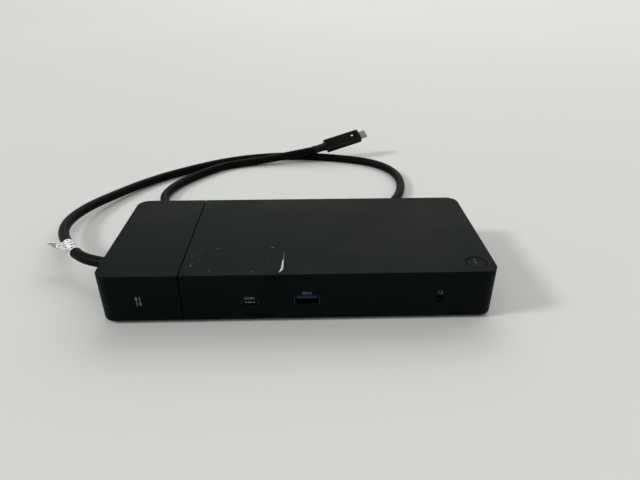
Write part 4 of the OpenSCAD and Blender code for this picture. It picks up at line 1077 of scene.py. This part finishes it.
# %% Tag on the cable
# The cable's path near the tag, seen from the tag's own frame, shifts every point sideways.
TAG_AT = np.array([-137.1, 12.26, 12.66])
TAG_HEADING, TAG_DIP = math.radians(127.7), math.radians(4.0)
tag_axes = turn_matrix(2, TAG_HEADING) @ turn_matrix(1, TAG_DIP)
tag_points, *tag_faces = join_surfaces([
    grid_surface(band, closed=True, u=band_u, v=band_v), grid_surface(flag, u=flag_u, v=flag_v)
])
near = (cable_path[np.linalg.norm(cable_path - TAG_AT, axis=1) < TAG_L] - TAG_AT) @ tag_axes
near = near[np.argsort(near[:, 0])]
for axis in (1, 2):
    tag_points[:, axis] += np.interp(tag_points[:, 0], near[:, 0], near[:, axis])
tag = make_piece("paper_tag", (TAG_AT + tag_points @ tag_axes.T, *tag_faces), paper)
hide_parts("cable_tag")

# %% [markdown]
# ## Flat shapes on a face
# Contacts, springs and printed signs are all flat outlines raised a little off a plane. A plane is a
# place with a right and an up direction; an outline becomes a thin plate, and a line becomes a ribbon of
# even width.

# %% Plates and ribbons
FRONT = (np.array([1, 0, 0]), np.array([0, 0, 1]))
BACK = (np.array([-1, 0, 0]), np.array([0, 0, 1]))
RIGHT = (np.array([0, 1, 0]), np.array([0, 0, 1]))
ABOVE = (np.array([1, 0, 0]), np.array([0, 1, 0]))
BELOW = (np.array([-1, 0, 0]), np.array([0, 1, 0]))


def on_plane(origin, axes, flat, out):
    """Flat points with a height off the plane, as points in space."""
    right, up = axes
    off = np.asarray(out)[..., None] * np.cross(right, up)
    return origin + flat[..., :1] * right + flat[..., 1:] * up + off


def plate(origin, axes, outline, low, high):
    """An outline raised from `low` to `high` off its plane."""
    levels = np.broadcast_to(np.array([[low], [high]]), (2, len(outline)))
    return grid_surface(on_plane(origin, axes, np.broadcast_to(outline, (2, *outline.shape)), levels))


def ribbon(origin, axes, line, width, low, high, closed=False):
    """A line of even width, raised from `low` to `high`: its edges lie half a width off, along the normal."""
    ends = (line[-1:], line[:1]) if closed else (2 * line[:1] - line[1:2], 2 * line[-1:] - line[-2:-1])
    around = np.concatenate([ends[0], line, ends[1]])
    tangent = unit(around[2:] - around[:-2])
    normal = np.stack([-tangent[:, 1], tangent[:, 0]], axis=-1) * width / 2
    edges = np.stack([line + normal, line - normal, line - normal, line + normal], axis=1)
    levels = np.broadcast_to(np.array([low, low, high, high]), edges.shape[:2])
    return grid_surface(on_plane(origin, axes, edges, levels), closed=closed)


print("plates and ribbons ready")

# %% Flat outlines
def bar(width, length, at=(0, 0)):
    """A flat bar with half-round ends, upright about a middle point."""
    half = circle(24) * width / 2
    return half + np.sign(half[:, 1:] + 1e-9) * [0, (length - width) / 2] + np.array(at)


def rounded_outline(width, height, radius, at=(0, 0)):
    """A rounded rectangle about a middle point."""
    turn = circle(32)
    shift = np.sign(turn + 1e-9) * [width / 2 - radius, height / 2 - radius]
    return turn * radius + shift + np.array(at)


print("outlines ready")

# %% [markdown]
# ## Contacts and springs in the sockets
# A socket is more than a hole: its tongue carries plated contacts, and its steel shell has springs that
# press on the plug. They are tiny, but they are what glints in the photograph's dark mouths. Each row is
# a loop over one bar shape.

# %% Type-C contacts
PORT_RECESS = 0.5
SUNK, PROUD = -0.05, 0.06
C_PITCH, C_COUNT, C_LONG = 0.5, 12, {1, 2, 4, 5, 6, 7, 9, 10}
C_TONGUE_FRONT, C_TONGUE_HALF_T = 0.6, 0.35
C_PIN_W, C_PIN_END, C_LONG_START, C_SHORT_START = 0.28, 4.5, 0.15, 0.7
C_EDGE_L, C_EDGE_PROUD = 0.5, 0.05
c_z = middle("front_c_tongue")[2]


def c_contacts(x, face_y, inward):
    """Twelve bars on both sides of a Type-C tongue; the long ones come round its front edge."""
    edge_axes = FRONT if inward > 0 else BACK
    bars = []
    for index in range(C_COUNT):
        pin_x = x + (index - (C_COUNT - 1) / 2) * C_PITCH
        start = C_TONGUE_FRONT + (C_LONG_START if index in C_LONG else C_SHORT_START)
        middle_y = face_y + inward * (PORT_RECESS + (start + C_PIN_END) / 2)
        for axes, side in ((ABOVE, 1), (BELOW, -1)):
            place = np.array([pin_x, middle_y, c_z + side * C_TONGUE_HALF_T])
            bars.append(plate(place, axes, bar(C_PIN_W, C_PIN_END - start), SUNK, PROUD))
        if index in C_LONG:
            place = np.array([pin_x, face_y + inward * (PORT_RECESS + C_TONGUE_FRONT), c_z])
            bars.append(plate(place, edge_axes, bar(C_PIN_W, C_EDGE_L), SUNK, C_EDGE_PROUD))
    return join_surfaces(bars)


front_c_x, rear_c_x, module_c_x = (
    middle(name)[0] for name in ("front_c_shell", "rear_c_shell", "module_c_shell")
)
for name, x, face_y, inward in (
    ("front_c_contacts", front_c_x, front_y, 1),
    ("rear_c_contacts", rear_c_x, back_y, -1),
    ("module_c_contacts", module_c_x, back_y, -1),
):
    make_piece(name, c_contacts(x, face_y, inward), gold)

# %% Type-A contacts
# Four wide bars lie under the tongue and five short ones on it.
A_TONGUE_FRONT, A_SHELL_T, A_STACK = 1.2, 5.72, 8.6
A_MIDDLE = box_mm("front_a_shell")[1][2] - A_SHELL_T / 2
# Places across, depth behind the tongue's edge, height over the middle, width, length, and how proud
A_LOWER_PINS = ((-3.5, -1.25, 1.25, 3.5), 5.0, 0.05, 1.0, 7.0, 0.08)
A_UPPER_PINS = ((-4, -2, 0, 2, 4), 1.1, 1.89, 0.7, 1.6, 0.06)


def a_contacts(x, face_y, inward, z):
    """The contacts of one Type-A tongue, which hangs just above the socket's middle z."""
    edge = face_y + inward * (PORT_RECESS + A_TONGUE_FRONT)
    bars = []
    for axes, pins in ((BELOW, A_LOWER_PINS), (ABOVE, A_UPPER_PINS)):
        offsets, depth, height, width, length, proud = pins
        for offset in offsets:
            place = np.array([x + offset, edge + inward * depth, z + height])
            bars.append(plate(place, axes, bar(width, length), SUNK, proud))
    return bars


print("socket middle", round(A_MIDDLE, 2), "mm up")

# %% Type-A ribs and springs
# A row of moulded ribs runs along the tongue's front edge. Two springs rise from the shell's floor: each is a
# strip whose height follows half a sine wave.
RIB_XS, RIB_Z, RIB_SHAPE, RIB_PROUD = np.linspace(-4.4, 4.4, 9), 0.8, (0.62, 0.8, 0.1), 0.1
SPRING_XS, SPRING_START, SPRING_L, SPRING_Z, SPRING_RISE = (-3, 3), 1.6, 5.5, -2.5, 0.9
SPRING_PROFILE = np.array([[-0.6, 0], [0.6, 0], [0.6, 0.2], [-0.6, 0.2]])


def a_ribs(x, face_y, inward, z):
    """Nine short ribs along the front edge of a Type-A tongue."""
    axes = FRONT if inward > 0 else BACK
    edge = face_y + inward * (PORT_RECESS + A_TONGUE_FRONT)
    places = [np.array([x + offset, edge, z + RIB_Z]) for offset in RIB_XS]
    return [plate(place, axes, rounded_outline(*RIB_SHAPE), SUNK, RIB_PROUD) for place in places]


def a_springs(x, face_y, inward, z):
    """Two sprung strips on the shell's floor, 6 mm apart."""
    run = np.linspace(0, 1, 24)
    y = face_y + inward * (PORT_RECESS + SPRING_START + SPRING_L * run)
    height = z + SPRING_Z + SPRING_RISE * np.sin(np.pi * run)
    paths = [np.stack([np.full_like(run, x + offset), y, height], axis=-1) for offset in SPRING_XS]
    return [grid_surface(carry(path, SPRING_PROFILE[None])) for path in paths]


print(len(RIB_XS), "ribs and", len(SPRING_XS), "springs to a socket")

# %% Type-A pieces
front_a_x, rear_a_x = middle("front_a_shell")[0], middle("rear_a_shell")[0]
A_FRONT = (front_a_x, front_y, 1, A_MIDDLE)
A_LOWER = (rear_a_x, back_y, -1, A_MIDDLE)
A_UPPER = (rear_a_x, back_y, -1, A_MIDDLE + A_STACK)
rib_blue = moulded("rib_blue", (0.012, 0.06, 0.19), 0.4, size=0.25, specular=0.3)
for name, sockets in (("front", [A_FRONT]), ("rear", [A_LOWER, A_UPPER])):
    contacts, ribs, springs = (
        join_surfaces([surface for socket in sockets for surface in shapes(*socket)])
        for shapes in (a_contacts, a_ribs, a_springs)
    )
    make_piece(name + "_a_contacts", contacts, gold)
    make_piece(name + "_a_ribs", ribs, rib_blue)
    make_piece(name + "_a_springs", springs, dark_nickel)

# %% Display contacts
# Ten bars on the upper and nine on the lower side of each display tongue, a millimetre apart.
DISPLAY_PITCH, DISPLAY_FRONT, DISPLAY_PIN_W = 1.0, 1.4, 0.45
VIDEO_PIN_L, MONITOR_PIN_L, MONITOR_HALF = 6.5, 9.0, 8.5
TONGUE_LOW, TONGUE_HIGH = 12.9, 13.9


def display_contacts(x, length):
    """The bars of one display tongue, all of one length."""
    y = back_y - PORT_RECESS - DISPLAY_FRONT - length / 2
    bars = []
    for axes, z, count in ((ABOVE, TONGUE_HIGH, 10), (BELOW, TONGUE_LOW, 9)):
        for index in range(count):
            place = np.array([x + (index - (count - 1) / 2) * DISPLAY_PITCH, y, z])
            bars.append(plate(place, axes, bar(DISPLAY_PIN_W, length), SUNK, PROUD))
    return bars


video_x = middle("video_shell")[0]
monitor_low, monitor_high = box_mm("monitor_shells")
monitor_xs = (monitor_low[0] + MONITOR_HALF, monitor_high[0] - MONITOR_HALF)
display = display_contacts(video_x, VIDEO_PIN_L)
for x in monitor_xs:
    display += display_contacts(x, MONITOR_PIN_L)
make_piece("display_contacts", join_surfaces(display), gold)

# %% Headset ring
# A thin dark ring lines the mouth of the headset bore: a small round profile turned about the bore's axis.
JACK_Z, RING_R, RING_OUT = 12.7, 2.02, 0.05
jack_x, jack_y = middle("headset_jack")[0], box_mm("headset_jack")[0][1]
ring_turns = circle(40)
ring_profile = circle(10) * [0.16, 0.12]
ring_r = RING_R + ring_profile[None, :, 0]
ring_y = jack_y - RING_OUT + ring_profile[None, :, 1]
ring = np.stack([
    jack_x + ring_r * ring_turns[:, :1],
    np.repeat(ring_y, len(ring_turns), axis=0),
    JACK_Z + ring_r * ring_turns[:, 1:],
], axis=-1)
make_piece("headset_ring", grid_surface(ring, closed=True), dark_nickel)

# %% [markdown]
# ## Button stroke
# The power button has a shallow dish with one stroke let into it, from the middle towards the back. The
# groove is in the solid; the light bar that fills it is a ribbon whose height follows the dish, and it
# travels with the button.

# %% Button stroke
BUTTON_X, BUTTON_Y, BUTTON_W = 92.6, -35.5, 9.8
DISH, STROKE_SUNK = 0.4, 0.05
DISH_R = BUTTON_W**2 / (8 * DISH)
button_top = box_mm("power_button")[1][2]
stroke_y = np.linspace(-0.8, 4.2, 20)
stroke_z = button_top - DISH + stroke_y**2 / (2 * DISH_R) - STROKE_SUNK
stroke_path = np.stack([np.full_like(stroke_y, BUTTON_X), BUTTON_Y + stroke_y, stroke_z], axis=-1)
stroke_profile = np.array([[-0.38, -0.2], [0.38, -0.2], [0.38, -0.03], [0.3, 0], [-0.3, 0], [-0.38, -0.03]])
stroke_grey = mottled("stroke_grey", 0.45, 0.18, 0.5 * MM, (0.012, 0.014, 0.015), (0.020, 0.023, 0.024))
stroke_grid = carry(stroke_path, stroke_profile[None])
make_piece("button_stroke", grid_surface(stroke_grid), stroke_grey, body="button")

# %% [markdown]
# ## Printed signs
# Small grey signs above the sockets say what goes in. Only plain pictograms are used: the outline of the
# socket, a battery, a headset, a screen, arrows. Real ink stands a few hundredths of a millimetre proud,
# so each sign is a set of thin ribbons on the wall.

# %% Ink
INK_LOW, INK_HIGH, INK_STEP = -0.02, 0.03, 0.006
INK_DIM, INK_PALE = (0.085, 0.088, 0.092), (0.16, 0.164, 0.168)
ink = mottled("sign_ink", 0.6, 0.3, 0.35 * MM, INK_DIM, INK_PALE, span=(0.35, 0.65), detail=3.0)


def sign(name, origin, axes, lines=(), loops=(), solids=(), width=0.28):
    """One printed sign: open lines, closed loops and solid shapes, in flat millimetres about its middle.
    Loops stand a step higher than lines, and solids two, so that no two of them share a plane."""
    loop_high, solid_high = INK_HIGH + INK_STEP, INK_HIGH + 2 * INK_STEP
    parts = [ribbon(origin, axes, np.array(line, float), width, INK_LOW, INK_HIGH) for line in lines]
    parts += [ribbon(origin, axes, loop, width, INK_LOW, loop_high, closed=True) for loop in loops]
    parts += [plate(origin, axes, np.array(solid, float), INK_LOW, solid_high) for solid in solids]
    make_piece(name, join_surfaces(parts), ink)


def arc(radius, start, stop, steps=16, at=(0, 0)):
    """Points along an arc, angles in degrees."""
    turn = np.radians(np.linspace(start, stop, steps))
    return radius * np.stack([np.cos(turn), np.sin(turn)], axis=-1) + np.array(at)


print("ink", ink.name)

# %% Front signs
def front(x, z):
    """A place on the front wall."""
    return np.array([x, front_y, z])


sign(
    "front_c_sign", front(front_c_x, c_z + 3.4), FRONT,
    loops=[rounded_outline(2.3, 0.95, 0.45, at=(-1.35, 0)), rounded_outline(1.9, 0.95, 0.15, at=(1.2, 0))],
    solids=[bar(0.22, 0.6, at=(2.35, 0)), rounded_outline(0.9, 0.5, 0.08, at=(0.95, 0))],
    lines=[[(-2.0, 0), (-0.7, 0)]], width=0.2,
)
sign(
    "front_a_sign", front(front_a_x + 0.2, A_MIDDLE + 4.5), FRONT,
    loops=[rounded_outline(2.6, 1.15, 0.12, at=(-1.2, 0))],
    solids=[rounded_outline(1.9, 0.36, 0.05, at=(-1.2, 0.16)), [(1.0, -0.55), (2.6, 0), (1.0, 0.55)]],
    lines=[[(0.5, 0), (1.2, 0)]], width=0.2,
)
ears = [bar(0.45, 0.9, at=(side * 0.94, -0.4)) for side in (-1, 1)]
sign(
    "headset_sign", front(jack_x, JACK_Z + 4.3), FRONT,
    lines=[arc(0.9, -20, 200, steps=24), arc(0.72, -75, -15, steps=8, at=(0.18, -0.4))],
    solids=[*ears, bar(0.36, 0.38, at=(0.25, -1.12))], width=0.22,
)
MODULE_SIGN_X, MODULE_SIGN_Z = -81.5, 14.2
sign(
    "module_sign", front(MODULE_SIGN_X, MODULE_SIGN_Z), FRONT,
    lines=[[(-0.85, -2.8), (-0.85, 1.5)], [(0.85, 2.8), (0.85, -1.5)]],
    solids=[[(-1.75, 1.2), (0.05, 1.2), (-0.85, 3.0)], [(-0.05, -1.2), (1.75, -1.2), (0.85, -3.0)]],
    width=0.5,
)

# %% Rear and side signs
def back(x, z):
    """A place on the back wall."""
    return np.array([x, back_y, z])


C_SIGN_Z, SCREEN_SIGN_Z, POWER_SIGN_Z, NETWORK_SIGN_Z, LOCK_SIGN_Z = 15.4, 19.6, 22.3, 25.6, 20.2
for name, x in (("rear_c_sign", rear_c_x), ("module_c_sign", module_c_x)):
    sign(
        name, back(x, C_SIGN_Z), BACK,
        loops=[rounded_outline(2.3, 0.95, 0.45)], lines=[[(-0.65, 0), (0.65, 0)]], width=0.2,
    )
screen_signs = ("video_sign", "monitor_left_sign", "monitor_right_sign")
for name, x in zip(screen_signs, (video_x, *monitor_xs)):
    sign(
        name, back(x, SCREEN_SIGN_Z), BACK, loops=[rounded_outline(3.4, 2.1, 0.2, at=(0, 0.3))],
        lines=[[(0, -0.8), (0, -1.3)], [(-0.8, -1.35), (0.8, -1.35)]], width=0.26,
    )
power_dashes = [[(x - 0.35, -0.4), (x + 0.35, -0.4)] for x in (-1.05, 0, 1.05)]
sign(
    "power_sign", back(middle("power_socket")[0], POWER_SIGN_Z), BACK,
    lines=[[(-1.4, 0.4), (1.4, 0.4)], *power_dashes], width=0.3,
)
network_boxes = [(0, 0.75), (-1.1, -0.75), (1.1, -0.75)]
network_legs = [[(x, 0), (x, -0.3)] for x in (-1.1, 1.1)]
sign(
    "network_sign", back(middle("network_shield")[0], NETWORK_SIGN_Z), BACK,
    loops=[rounded_outline(1.0, 0.8, 0.08, at=at) for at in network_boxes],
    lines=[[(0, 0.3), (0, 0)], [(-1.1, 0), (1.1, 0)], *network_legs], width=0.2,
)
sign(
    "lock_sign", np.array([right_x, middle("lock_plate")[1], LOCK_SIGN_Z]), RIGHT,
    solids=[rounded_outline(2.2, 1.5, 0.2, at=(0, -0.4))],
    lines=[arc(0.7, 0, 180, at=(0, 0.35))], width=0.28,
)
